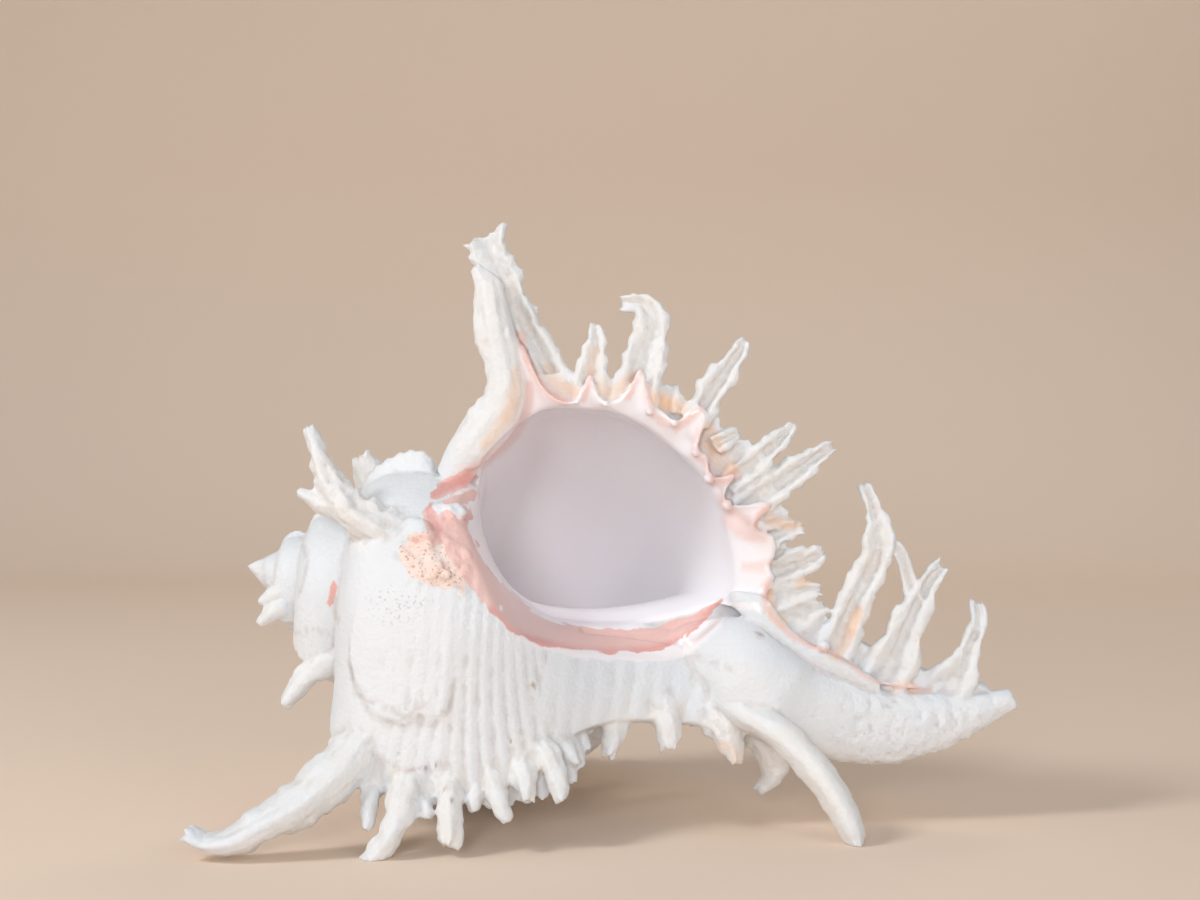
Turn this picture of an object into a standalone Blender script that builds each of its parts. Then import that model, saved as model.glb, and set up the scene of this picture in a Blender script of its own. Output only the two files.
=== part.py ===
"""Branched murex shell, resting on the fronds of its two older varices.

The shell grows as one piece, so it is one closed solid: whorls that widen by a
fixed ratio each turn about a dipping axis, an open aperture that winds back
into the last whorl, a bent siphonal canal with a slit, and gutter-shaped
fronds along the varices.  Lengths are in millimetres until the mesh is made.
X runs from the spire to the canal, the aperture faces -Y, and +Z is up.
"""
import math

import bmesh
import bpy
import numpy as np

MM = 0.001

# Growth of the whorls
APEX = np.array([-91.7, 0.0, 64.9])
AXIS_DIP_DEG = 12.0
WHORL_RATIO = 1.8
LIP_DEG = 8.0
OLDEST_DEG = -1260.0
TIP_AHEAD = 0.2
COLUMELLA_RADIUS = 7.0
COLUMELLA_END = 152.0

# Whorl outline at the lip as distance along the axis and radius, suture to base
PERIPHERY = (79.0, 61.0)
SHOULDER_OUTLINE = (
    (PERIPHERY[0] / WHORL_RATIO, PERIPHERY[1] / WHORL_RATIO),
    (45.5, 43.0),
    (49.5, 51.0),
    (57.0, 57.0),
    (67.0, 60.0),
    PERIPHERY,
)
BASE_OUTLINE = (
    PERIPHERY,
    (92.0, 60.5),
    (106.0, 57.0),
    (118.0, 50.8),
    (128.0, 42.0),
    (135.0, 30.5),
    (140.0, 18.0),
    (144.0, 6.0),
    (148.0, -8.0),
)

# Varices: turn angle and flange height at the scale of the lip
LAST_TURN_VARICES = ((0.0, 5.5), (-118.0, 18.0), (-230.0, 20.0))
OLD_VARIX_HEIGHT = 9.5
VARIX_RISE_DEG = 42.0
VARIX_DROP_DEG = 4.0

# Shoulder knobs between the varices: turn angle, outline position and height
KNOBS = ((-62.0, 0.85, 6.5), (-176.0, 0.85, 6.0))
KNOB_HALF_DEG = 17.0
KNOB_HALF_PLACE = 0.30

# Mouth outline at the lip as distance along the axis and radius, closed
MOUTH = (
    (48.7, 34.9),
    (54.0, 40.4),
    (61.9, 52.2),
    (70.8, 59.4),
    (85.7, 62.2),
    (96.8, 59.7),
    (108.9, 51.9),
    (116.5, 43.0),
    (121.8, 33.6),
    (124.5, 20.0),
    (121.6, 15.4),
    (112.5, 10.0),
    (97.9, 5.3),
    (85.1, 4.1),
    (74.2, 6.3),
    (65.4, 11.0),
    (58.6, 18.7),
    (54.2, 25.4),
    (47.5, 30.5),
)
MOUTH_CENTRE = (88.0, 33.0)
HOLLOW_OLDEST_DEG = -200.0
DEEP_SHRINK = 4.0
MOUTH_FORWARD = 42.0
GLAZE_SPREAD = 18.0
GLAZE_ROLL = 1.7

# Front view used to set out the fronds: view units right and down, depth in Y
EYE = np.array([0.0, -433.0, 95.0])
VIEW_SCALE = 1667.0
VIEW_CENTRE = (600.0, 450.0)

# Centre of the finished shell's base in these coordinates
FRAME_CENTRE = np.array([5.918, 13.472, 0.0])

FORWARD = np.array([0.0, -1.0, 0.0])
BACKWARD = np.array([0.0, 1.0, 0.0])

# Siphonal canal: view right, view down, depth, height and thickness
CANAL = (
    (664.0, 653.0, 0.0, 9.0, 9.0),
    (696.0, 652.0, -4.0, 16.0, 15.0),
    (732.0, 663.0, -8.0, 24.0, 20.0),
    (770.0, 692.0, -9.0, 24.0, 20.0),
    (800.0, 707.0, -7.0, 22.5, 19.0),
    (840.0, 719.0, -5.0, 21.5, 18.0),
    (880.0, 726.0, -4.0, 19.5, 16.0),
    (920.0, 723.0, -3.0, 16.5, 14.0),
    (955.0, 716.0, -2.0, 12.5, 12.0),
    (985.0, 707.0, -2.0, 8.5, 9.0),
    (1012.0, 698.0, -2.0, 5.0, 6.0),
)
CANAL_SLIT = (
    (724.0, 602.0, -12.0),
    (742.0, 612.0, -12.5),
    (760.0, 626.0, -13.0),
    (800.0, 655.5, -12.5),
    (850.0, 679.0, -11.0),
    (900.0, 687.0, -9.0),
    (950.0, 690.0, -7.0),
    (1025.0, 690.0, -5.0),
)
SLIT_WIDTH = 1.4
SLIT_DEPTH = 9.0

# Fronds as seen from the front: facing of the gutter, thickness, then the
# centre line from root to tip as view right, view down, depth and width
LIP_FRONDS = (
    (FORWARD, 5.0, ((448, 480, -10, 30), (466, 458, -11, 46), (482, 439, -12, 52),
                    (498, 416, -12, 50), (505, 393, -12, 42), (503, 368, -11, 40),
                    (497, 340, -10, 44), (491, 307, -9, 34), (488, 288, -8, 30),
                    (477, 270, -7, 9))),
    (FORWARD, 5.0, ((572, 404, -9, 40), (556, 380, -7, 38), (540, 352, -5, 32),
                    (524, 318, -4, 28), (509, 287, -3, 30), (494, 261, -2, 34),
                    (486, 237, -1, 40))),
    (FORWARD, 4.0, ((589, 404, -9, 36), (591, 382, -9, 33), (595, 358, -8, 26),
                    (597, 340, -7, 17), (596, 327, -6, 9))),
    (FORWARD, 5.0, ((634, 408, -9, 56), (638, 384, -9, 50), (645, 358, -8, 42),
                    (651, 334, -7, 37), (649, 314, -6, 29), (641, 303, -5, 20),
                    (627, 303, -4, 10))),
    (FORWARD, 3.5, ((665, 412, -9, 28), (668, 397, -9, 26), (671, 386, -8, 16))),
    (FORWARD, 4.5, ((694, 422, -9, 34), (708, 398, -9, 30), (724, 374, -8, 27),
                    (738, 354, -7, 20), (745, 342, -6, 8))),
    (FORWARD, 3.0, ((714, 446, -10, 22), (726, 438, -9, 18), (740, 432, -8, 9))),
    (FORWARD, 4.0, ((726, 485, -7, 26), (744, 470, -7, 26), (766, 453, -7, 24),
                    (782, 438, -6, 20), (792, 425, -5, 9))),
    (FORWARD, 4.5, ((738, 512, -6, 34), (762, 496, -6, 34), (787, 478, -6, 30),
                    (812, 460, -6, 24), (832, 447, -5, 10))),
    (FORWARD, 3.5, ((744, 546, -5, 34), (768, 537, -6, 30), (788, 530, -6, 24),
                    (801, 528, -6, 12))),
    (FORWARD, 4.0, ((744, 582, -4, 34), (770, 573, -5, 30), (795, 565, -6, 29),
                    (812, 558, -6, 26), (822, 553, -6, 14))),
    (FORWARD, 4.0, ((748, 606, -4, 34), (772, 597, -5, 28), (798, 591, -6, 25),
                    (818, 590, -6, 13))),
    (FORWARD, 4.0, ((756, 636, -4, 38), (780, 623, -5, 40), (804, 613, -6, 30),
                    (822, 606, -6, 14))),
    (FORWARD, 5.0, ((818, 668, -5, 44), (838, 642, -6, 40), (850, 610, -6, 36),
                    (861, 588, -6, 33), (871, 568, -5, 32), (879, 546, -5, 34),
                    (877, 524, -4, 26), (872, 504, -3, 17), (865, 486, -2, 5))),
    (FORWARD, 5.0, ((877, 686, -4, 54), (892, 664, -5, 54), (902, 640, -5, 44),
                    (912, 616, -5, 34), (922, 594, -4, 27), (932, 578, -3, 18),
                    (940, 568, -2, 8))),
    (FORWARD, 2.6, ((915, 606, -4, 20), (909, 580, -4, 16), (902, 558, -4, 14),
                    (896, 542, -4, 9))),
    (FORWARD, 4.0, ((940, 692, -3, 54), (953, 680, -4, 46), (965, 660, -4, 28),
                    (973, 640, -3, 20), (979, 622, -2, 15), (978, 606, -1, 6))),
)
FRONT_VARIX_FRONDS = (
    (BACKWARD, 9.0, ((394, 700, -24, 54), (370, 738, -30, 56), (344, 768, -36, 55),
                     (318, 790, -40, 52), (290, 810, -43, 45), (262, 825, -45, 37),
                     (235, 839, -46, 30), (210, 842, -46, 20), (190, 835, -46, 7))),
    (BACKWARD, 3.6, ((376, 782, -36, 24), (370, 802, -39, 18), (368, 816, -41, 14),
                     (366, 831, -43, 7))),
    (BACKWARD, 5.0, ((406, 780, -37, 40), (402, 802, -41, 34), (397, 820, -43, 30),
                     (390, 837, -45, 25), (378, 854, -45, 20), (365, 863, -45, 10))),
    (BACKWARD, 3.5, ((424, 795, -38, 18), (427, 810, -40, 12), (427, 819, -41, 8))),
    (BACKWARD, 4.5, ((452, 780, -37, 36), (450, 800, -40, 32), (449, 818, -42, 26),
                     (449, 830, -43, 22), (447, 843, -44, 14))),
    (BACKWARD, 3.5, ((476, 785, -36, 22), (474, 800, -38, 16), (474, 812, -39, 8))),
    (BACKWARD, 4.0, ((490, 768, -35, 28), (496, 790, -38, 23), (501, 806, -40, 17),
                     (507, 820, -41, 9))),
    (BACKWARD, 4.0, ((520, 758, -33, 34), (525, 778, -36, 28), (527, 799, -38, 8))),
    (BACKWARD, 4.0, ((540, 740, -30, 30), (548, 758, -33, 26), (555, 774, -35, 22),
                     (560, 790, -36, 14), (562, 801, -37, 6))),
    (BACKWARD, 3.6, ((546, 720, -22, 28), (558, 738, -25, 22), (569, 753, -28, 16),
                     (578, 763, -29, 8))),
    (BACKWARD, 4.5, ((612, 702, -14, 38), (614, 727, -17, 29), (612, 742, -19, 24),
                     (608, 756, -21, 11))),
    (BACKWARD, 4.5, ((660, 702, -13, 40), (667, 724, -16, 30), (668, 737, -17, 26),
                     (669, 748, -18, 20))),
    (BACKWARD, 4.5, ((712, 704, -10, 46), (724, 728, -12, 36), (731, 745, -13, 27),
                     (735, 761, -14, 14))),
    (BACKWARD, 6.0, ((722, 696, -10, 40), (748, 715, -16, 32), (776, 731, -21, 32),
                     (801, 753, -25, 33), (822, 779, -28, 32), (840, 806, -30, 30),
                     (852, 830, -31, 24), (857, 847, -31.5, 14))),
    (BACKWARD, 5.0, ((752, 715, -2, 48), (768, 742, -2, 42), (775, 762, -1, 34),
                     (772, 776, -1, 22), (762, 787, 0, 9))),
)
SPIRE_FRONDS = (
    (BACKWARD, 6.0, ((414, 548, -24, 44), (392, 534, -26, 46), (366, 521, -27, 42),
                     (344, 503, -27, 36), (329, 480, -26, 28), (320, 456, -25, 20),
                     (312, 433, -24, 8))),
    (BACKWARD, 3.6, ((352, 515, -26, 28), (330, 506, -26, 24), (312, 498, -26, 17),
                     (299, 491, -26, 8))),
    (BACKWARD, 5.0, ((400, 520, 6, 44), (386, 500, 6, 38), (374, 480, 6, 36),
                     (362, 459, 6, 22))),
    (BACKWARD, 4.0, ((338, 655, -17, 30), (318, 668, -18, 26), (300, 684, -19, 22),
                     (285, 704, -20, 14))),
    (BACKWARD, 3.0, ((285, 606, -10, 24), (270, 614, -11, 18), (260, 624, -11, 9))),
    (BACKWARD, 3.0, ((284, 590, -9, 22), (270, 596, -9, 16), (260, 602, -9, 8))),
)

# Old canal plate under the mouth: view right, then top and bottom with depths
OLD_CANAL = (
    (530.0, 626.0, -25.0, 768.0, -32.0, 10.0),
    (560.0, 627.0, -21.0, 742.0, -27.5, 11.0),
    (590.0, 630.0, -15.0, 728.0, -23.0, 12.0),
    (620.0, 634.0, -10.5, 721.0, -19.5, 11.0),
    (655.0, 642.0, -7.5, 721.0, -16.5, 10.0),
    (695.0, 655.0, -5.0, 724.0, -14.0, 8.0),
    (728.0, 674.0, -6.0, 731.0, -12.5, 6.5),
    (752.0, 688.0, -7.0, 716.0, -10.0, 4.0),
)

# Web between the outer lip and the canal fronds, laid out like the old canal
LIP_WEB = (
    (746.0, 553.0, -1.0, 640.0, -1.0, 8.0),
    (785.0, 577.0, -3.0, 672.0, -3.0, 8.0),
    (819.0, 610.0, -3.5, 694.0, -3.0, 7.5),
    (848.0, 634.0, -3.5, 706.0, -2.0, 7.0),
    (873.0, 648.0, -3.0, 710.0, -1.0, 6.5),
    (905.0, 660.0, -3.0, 710.0, -1.0, 6.0),
    (932.0, 673.0, -2.5, 707.0, -1.0, 5.5),
    (962.0, 678.0, -2.5, 704.0, -1.0, 5.0),
    (988.0, 686.0, -2.0, 702.0, -1.0, 4.0),
)

# Long spine of the back varix: X, Y, Z and width, shoulder to floor
BACK_SPINE = (
    (-50.0, 26.0, 52.0, 27.0),
    (-56.0, 40.0, 41.0, 24.0),
    (-61.0, 53.0, 28.0, 20.0),
    (-64.0, 63.0, 13.0, 16.0),
    (-65.0, 70.0, -2.0, 10.0),
)

# Fronds of the back varix: outline position, height, width, lean and droop
BACK_VARIX_DEG = -118.0
BACK_FRONDS = (
    (0.66, 17.0, 9.0, -0.30, 0.25),
    (0.90, 37.0, 12.0, -0.10, 0.95),
    (1.08, 14.0, 8.0, 0.00, 0.30),
    (1.22, 19.0, 10.0, 0.10, 0.35),
    (1.36, 12.0, 8.0, 0.20, 0.20),
    (1.50, 16.0, 9.0, 0.35, 0.25),
    (1.64, 12.0, 7.0, 0.35, 0.15),
)


def smooth_max(first, second, width):
    """The larger of two values, rounded where they cross."""
    return 0.5 * (first + second + np.sqrt((first - second) ** 2 + width ** 2))


def ramp(value, start, end):
    """Smooth step from 0 at start to 1 at end."""
    x = np.clip((value - start) / (end - start), 0.0, 1.0)
    return x * x * (3.0 - 2.0 * x)


def spline(points, count):
    """Points evenly spaced along a smooth curve through the given points."""
    pts = np.asarray(points, float)
    ends = np.vstack([2 * pts[0] - pts[1], pts, 2 * pts[-1] - pts[-2]])
    fine = []
    for i in range(len(pts) - 1):
        p0, p1, p2, p3 = ends[i : i + 4]
        for f in np.arange(0.0, 1.0, 0.05):
            even = 2 * p1 + (p2 - p0) * f
            bend = (2 * p0 - 5 * p1 + 4 * p2 - p3) * f ** 2
            twist = (3 * p1 - p0 - 3 * p2 + p3) * f ** 3
            fine.append(0.5 * (even + bend + twist))
    fine.append(pts[-1])
    fine = np.array(fine)
    steps = np.linalg.norm(np.diff(fine, axis=0), axis=1)
    along = np.concatenate([[0.0], np.cumsum(steps)])
    wanted = np.linspace(0.0, along[-1], count)
    return np.stack([np.interp(wanted, along, c) for c in fine.T], axis=1)


def view_point(right, down, depth):
    """The point at this depth that the front view shows at (right, down)."""
    away = depth - EYE[1]
    x = (right - VIEW_CENTRE[0]) * away / VIEW_SCALE
    z = EYE[2] - (down - VIEW_CENTRE[1]) * away / VIEW_SCALE
    return np.array([x, depth, z])


DIP = math.radians(AXIS_DIP_DEG)
AXIS = np.array([math.cos(DIP), 0.0, -math.sin(DIP)])
UPWARD = np.array([math.sin(DIP), 0.0, math.cos(DIP)])


def growth(turn):
    return WHORL_RATIO ** (np.asarray(turn, float) / 360.0)


def radial(turn):
    """Unit direction away from the axis at a turn angle."""
    phi = np.radians(LIP_DEG + np.asarray(turn, float))
    return np.cos(phi)[..., None] * UPWARD + np.sin(phi)[..., None] * FORWARD


def axis_point(along, out, turn):
    along = np.asarray(along, float)[..., None]
    out = np.asarray(out, float)[..., None]
    return APEX + along * AXIS + out * radial(turn)


def outline_grid(band, base, column):
    """Outline samples: position 0 to 3, axis distance, radius and normal."""
    shoulder = spline(SHOULDER_OUTLINE, band + 1)
    lower = spline(BASE_OUTLINE, base + 1)
    points = np.vstack([shoulder, lower[1:]])
    place = np.concatenate([np.linspace(0, 1, band + 1), 1 + np.arange(1, base + 1) / base])
    slope = np.gradient(points, axis=0)
    slope /= np.linalg.norm(slope, axis=1)[:, None]
    normal = np.stack([-slope[:, 1], slope[:, 0]], axis=1)
    extra = np.arange(1, column + 1) / column
    points = np.vstack([points, np.repeat(points[-1:], column, axis=0)])
    normal = np.vstack([normal, np.repeat(normal[-1:], column, axis=0)])
    return np.concatenate([place, 2 + extra]), points, normal


def flange(turn, place):
    """Height of varix flanges and knobs above the plain whorl, at the scale of the lip."""
    turn = np.asarray(turn, float)[:, None]
    place = np.asarray(place, float)[None, :]
    total = np.zeros(np.broadcast(turn, place).shape)
    new_shape = ramp(place, 0.2, 0.8) * (1.0 - 0.75 * ramp(place, 1.40, 1.62))
    new_shape = new_shape * (1.0 - ramp(place, 1.7, 1.95))
    old_shape = np.clip(np.sin(np.pi * np.clip(place, 0.0, 1.0) ** 3), 0.0, 1.0) ** 0.8
    old_turns = [at for at, tall in LAST_TURN_VARICES]
    varices = [(at, tall, new_shape) for at, tall in LAST_TURN_VARICES]
    for back in (360.0, 720.0, 1080.0):
        varices += [(at - back, OLD_VARIX_HEIGHT, old_shape) for at in old_turns]
    for at, tall, shape in varices:
        since = turn - at
        rise = np.clip(1.0 + since / VARIX_RISE_DEG, 0.0, 1.0) ** 2.3
        fall = np.clip(1.0 - since / VARIX_DROP_DEG, 0.0, 1.0)
        total += tall * np.where(since <= 0.0, rise, fall) * shape
    for at, middle, tall in KNOBS:
        far = ((turn - at) / KNOB_HALF_DEG) ** 2 + ((place - middle) / KNOB_HALF_PLACE) ** 2
        total += tall * np.exp(-far)
    return total


def whorl_points(turns, place, points, normal):
    """Surface points for every turn and outline position."""
    k = growth(turns)[:, None]
    lift = flange(turns, place)
    along = k * (points[None, :, 0] + lift * normal[None, :, 0])
    out = k * (points[None, :, 1] + lift * normal[None, :, 1])
    past = np.clip(place - 2.0, 0.0, 1.0)[None, :]
    along = along * (1.0 - past) + COLUMELLA_END * past
    column = COLUMELLA_RADIUS * (1.0 - 0.5 * ramp(along, 110.0, COLUMELLA_END))
    newer = np.clip(1.0 + np.asarray(turns, float) / 360.0, 0.0, 1.0)[:, None]
    column = column * (1.0 + 0.35 * newer * (1.0 - past))
    rounded = smooth_max(out, column, 3.0 * k)
    out = np.where(place[None, :] >= 1.0, rounded, out)
    out = out * (1.0 - past) + column * past
    angles = np.broadcast_to(np.asarray(turns, float)[:, None], out.shape)
    return axis_point(along, out, angles)


def turn_rows(step):
    """Turn angles of one revolution, closer together at the varices."""
    marks = sorted({-360.0, -180.0} | {at for at, tall in LAST_TURN_VARICES if at})
    rows = set(marks)
    for at in (-118.0, -230.0, -360.0, 0.0):
        for offset in (-27.0, -17.0, -10.0, -5.0, 4.0):
            near = at + offset
            if -360.0 < near < 0.0:
                rows.add(near)
    rows.add(0.0)
    ordered = sorted(rows)
    filled = []
    for low, high in zip(ordered, ordered[1:]):
        pieces = max(1, int(math.ceil((high - low) / step - 0.3)))
        filled += [low + (high - low) * i / pieces for i in range(pieces)]
    return np.array(filled)


def whorls(band, base, column, step):
    """Closed outer surface of all whorls, spire to columella."""
    one = turn_rows(step)
    count = len(one)
    rows = np.concatenate([one - 360.0 * back for back in (3, 2, 1, 0)] + [[0.0]])
    rows = rows[rows >= OLDEST_DEG - 0.01]
    last = len(rows) - 1
    first_full = last - count
    place, points, normal = outline_grid(band, base, column)
    grid = whorl_points(rows, place, points, normal)
    width = len(place)
    index = -np.ones((len(rows), width), int)
    verts = []
    for i in range(len(rows)):
        for j in range(width if i >= first_full else band + 1):
            if j == 0 and i >= count:
                index[i, 0] = index[i - count, band]
                continue
            if i == last and j == width - 1:
                index[i, j] = index[first_full, j]
                continue
            index[i, j] = len(verts)
            verts.append(grid[i, j])
    faces = []
    for i in range(last):
        for j in range(width - 1 if i >= first_full else band):
            faces.append((index[i, j], index[i + 1, j], index[i + 1, j + 1], index[i, j + 1]))
    apex = len(verts)
    verts.append(APEX - TIP_AHEAD * AXIS)
    for i in range(count):
        faces.append((apex, index[i + 1, 0], index[i, 0]))
    for j in range(band - 1):
        faces.append((index[count, 0], index[0, j + 1], index[0, j]))
    faces.append((apex, index[0, 0], index[count, 0]))
    foot = len(verts)
    verts.append(APEX + COLUMELLA_END * AXIS)
    ring = [index[i, width - 1] for i in range(first_full, last)]
    for one_end, other in zip(ring, ring[1:] + ring[:1]):
        faces.append((foot, one_end, other))
    outer = [index[last, j] for j in range(width)]
    inner = [index[first_full, j] for j in range(band, width)]
    faces += zipper(verts, outer, inner)
    return verts, faces


def zipper(verts, outer, inner):
    """Triangles between two chains of vertices that share both ends."""
    shares = []
    for chain in (outer, inner):
        steps = [np.linalg.norm(verts[b] - verts[a]) for a, b in zip(chain, chain[1:])]
        shares.append(np.concatenate([[0.0], np.cumsum(steps)]) / sum(steps))
    faces = []
    i = 0
    j = 0
    while i < len(outer) - 1 or j < len(inner) - 1:
        next_outer = shares[0][i + 1] if i < len(outer) - 1 else 2.0
        next_inner = shares[1][j + 1] if j < len(inner) - 1 else 2.0
        if next_outer <= next_inner:
            faces.append((outer[i], outer[i + 1], inner[j]))
            i += 1
        else:
            faces.append((outer[i], inner[j + 1], inner[j]))
            j += 1
    return [f for f in faces if len(set(f)) == 3]


def mouth_outline(count):
    """Evenly spaced points round the mouth and their outward directions."""
    points = np.array(MOUTH + MOUTH[:3])
    fine = spline(points, 600)
    first = int(np.argmin(np.linalg.norm(fine[:300] - points[1], axis=1)))
    again = 300 + int(np.argmin(np.linalg.norm(fine[300:] - points[1], axis=1)))
    loop = fine[first : again + 1]
    steps = np.linalg.norm(np.diff(loop, axis=0), axis=1)
    along = np.concatenate([[0.0], np.cumsum(steps)])
    wanted = np.linspace(0.0, along[-1], count, endpoint=False)
    ring = np.stack([np.interp(wanted, along, c) for c in loop.T], axis=1)
    outward = ring - np.array(MOUTH_CENTRE)
    return ring, outward / np.linalg.norm(outward, axis=1)[:, None]


def hollow_rings(spokes, step):
    """Rings of the aperture cutter, from deep inside to in front of the mouth."""
    outline, outward = mouth_outline(spokes)
    rings = []
    turns = np.linspace(HOLLOW_OLDEST_DEG, 0.0, int(-HOLLOW_OLDEST_DEG / step) + 1)
    for turn in turns:
        shrink = DEEP_SHRINK * float(ramp(-turn, 0.0, 45.0))
        ring = float(growth(turn)) * (outline - shrink * outward)
        rings.append(axis_point(ring[:, 0], ring[:, 1], np.full(spokes, turn)))
    mouth = rings[-1]
    middle = mouth.mean(axis=0)
    glaze = (1.0 - ramp(outline[:, 1], 22.0, 34.0)) * ramp(outline[:, 0], 124.0, 62.0)
    out_way = mouth - middle
    out_way[:, 1] = 0.0
    out_way /= np.linalg.norm(out_way, axis=1)[:, None]
    for share in (0.3, 0.55, 0.78, 1.0):
        ring = EYE + (mouth - EYE) * (1.0 - share * MOUTH_FORWARD / -EYE[1])
        rings.append(ring + out_way * (GLAZE_SPREAD * glaze * share ** GLAZE_ROLL)[:, None])
    return rings


def tube(rings):
    """Closed mesh through rings of equal length, flat at both ends."""
    size = len(rings[0])
    verts = [p for ring in rings for p in ring]
    faces = []
    for n in range(len(rings) - 1):
        for i in range(size):
            a = n * size + i
            b = n * size + (i + 1) % size
            faces.append((a, b, b + size, a + size))
    for n, turned in ((0, False), (len(rings) - 1, True)):
        hub = len(verts)
        verts.append(np.mean(rings[n], axis=0))
        for i in range(size):
            a = n * size + i
            b = n * size + (i + 1) % size
            faces.append((hub, a, b) if turned else (hub, b, a))
    return verts, faces


# Section of a frond: across in half widths, and depth towards its hollow side
GUTTER = (
    (-1.0, 0.05),
    (-0.62, 0.42),
    (0.0, -0.22),
    (0.62, 0.42),
    (1.0, 0.05),
    (0.58, -0.62),
    (0.0, -0.85),
    (-0.58, -0.62),
)


def frond_mesh(centres, widths, facing, thick):
    """Swept gutter section: widths in mm, hollow side towards facing."""
    centres = np.asarray(centres, float)
    tangent = np.gradient(centres, axis=0)
    tangent /= np.linalg.norm(tangent, axis=1)[:, None]
    rings = []
    widest = max(widths)
    for point, way, width in zip(centres, tangent, widths):
        across = np.cross(way, facing)
        across /= np.linalg.norm(across)
        front = np.cross(across, way)
        depth = thick * (0.35 + 0.65 * (width / widest) ** 0.7)
        ring = [point + x * 0.5 * width * across + y * depth * front for x, y in GUTTER]
        rings.append(np.array(ring))
    verts = [p for ring in rings for p in ring]
    size = len(GUTTER)
    faces = []
    for n in range(len(rings) - 1):
        for i in range(size):
            a = n * size + i
            b = n * size + (i + 1) % size
            faces.append((a, b, b + size, a + size))
    for n in (0, len(rings) - 1):
        hub = n * size + 2
        for i in range(3, size + 1):
            a = n * size + i % size
            b = n * size + (i + 1) % size
            faces.append((hub, a, b) if n else (hub, b, a))
    return verts, faces


def set_out_fronds():
    """Centre points, widths, facing and thickness of every frond."""
    found = []
    for facing, thick, stations in LIP_FRONDS + FRONT_VARIX_FRONDS + SPIRE_FRONDS:
        centres = [view_point(*station[:3]) for station in stations]
        widths = [s[3] * (s[2] - EYE[1]) / VIEW_SCALE for s in stations]
        found.append((np.array(centres), np.array(widths), facing, thick))
    spine = np.array(BACK_SPINE)
    found.append((spine[:, :3], spine[:, 3], np.array([0.9, 0.0, -0.4]), 6.0))
    for row in BACK_FRONDS:
        found.append(back_frond(*row))
    return found


def back_frond(place, tall, width, lean, droop):
    """A frond of the back varix, curving down towards the floor."""
    grid_place, points, normal = outline_grid(20, 40, 1)
    at = int(np.argmin(np.abs(grid_place - place)))
    k = float(growth(BACK_VARIX_DEG))
    lift = float(flange(np.array([BACK_VARIX_DEG]), grid_place[at : at + 1])[0, 0])
    out_way = radial(BACK_VARIX_DEG)
    root = APEX + k * (points[at, 0] + lift * normal[at, 0]) * AXIS
    root = root + k * (points[at, 1] + lift * normal[at, 1]) * out_way
    growing = radial(BACK_VARIX_DEG + 90.0)
    stations = [root - 9.0 * out_way, root - 1.0 * out_way]
    way = normal[at, 0] * AXIS + normal[at, 1] * out_way + lean * AXIS
    for _ in range(4):
        way = way / np.linalg.norm(way) + np.array([0.0, 0.0, -0.55 * droop])
        way = way / np.linalg.norm(way)
        stations.append(stations[-1] + way * tall / 4.0)
    widths = width * np.array([1.5, 1.2, 0.95, 0.75, 0.52, 0.28])
    return np.array(stations) - 1.5 * growing, widths, -growing, 0.3 * width + 1.4


def plate_rings(stations):
    """Rings of a plate seen from the front, given by its top and bottom edges."""
    rings = []
    for right, top, top_depth, bottom, bottom_depth, thick in stations:
        high = view_point(right, top, top_depth)
        low = view_point(right, bottom, bottom_depth)
        middle = 0.5 * (high + low) + 0.18 * thick * FORWARD
        face = np.cross(low - high, np.array([1.0, 0.0, 0.0]))
        face /= np.linalg.norm(face)
        face = face if face[1] < 0 else -face
        ring = [high + 0.3 * thick * face, middle + 0.35 * thick * face, low + 0.1 * thick * face]
        ring += [low - 0.25 * thick * face, middle - 0.6 * thick * face, high - 0.7 * thick * face]
        rings.append(np.array(ring))
    return rings


def canal_rings():
    """Rings of the siphonal canal, rounder below than above."""
    rings = []
    centres = np.array([view_point(*s[:3]) for s in CANAL])
    tangent = np.gradient(centres, axis=0)
    tangent /= np.linalg.norm(tangent, axis=1)[:, None]
    for point, way, station in zip(centres, tangent, CANAL):
        high = np.cross(BACKWARD, way)
        high /= np.linalg.norm(high)
        if high[2] < 0:
            high = -high
        ring = []
        for n in range(12):
            angle = 2 * math.pi * (n + 0.5) / 12
            c = math.cos(angle)
            s = math.sin(angle)
            y = math.copysign(abs(c) ** 0.8, c) * station[4] / 2
            z = math.copysign(abs(s) ** 0.9, s) * station[3] / 2
            ring.append(point + y * FORWARD + z * high)
        rings.append(np.array(ring))
    return rings


def slit_rings():
    """Rings of the narrow cutter that opens the canal along its length."""
    rings = []
    points = np.array([view_point(*s) for s in CANAL_SLIT])
    tangent = np.gradient(points, axis=0)
    for point, way in zip(points, tangent):
        high = np.cross(BACKWARD, way / np.linalg.norm(way))
        high /= np.linalg.norm(high)
        half = high * SLIT_WIDTH / 2
        back = point + BACKWARD * SLIT_DEPTH
        front = point + FORWARD * 14.0
        rings.append(np.array([back - half, front - half * 1.6, front + half * 1.6, back + half]))
    return rings


def mesh_object(name, verts, faces, material=None):
    """A mesh object with outward faces, in the final frame and in metres."""
    mesh = bpy.data.meshes.new(name)
    moved = [tuple((np.asarray(v) - FRAME_CENTRE) * MM) for v in verts]
    mesh.from_pydata(moved, [], [tuple(int(i) for i in f) for f in faces])
    work = bmesh.new()
    work.from_mesh(mesh)
    bmesh.ops.triangulate(work, faces=work.faces[:])
    bmesh.ops.recalc_face_normals(work, faces=work.faces[:])
    if work.calc_volume(signed=True) < 0:
        bmesh.ops.reverse_faces(work, faces=work.faces[:])
    work.to_mesh(mesh)
    work.free()
    if material:
        mesh.materials.append(material)
    obj = bpy.data.objects.new(name, mesh)
    bpy.context.scene.collection.objects.link(obj)
    return obj


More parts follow.
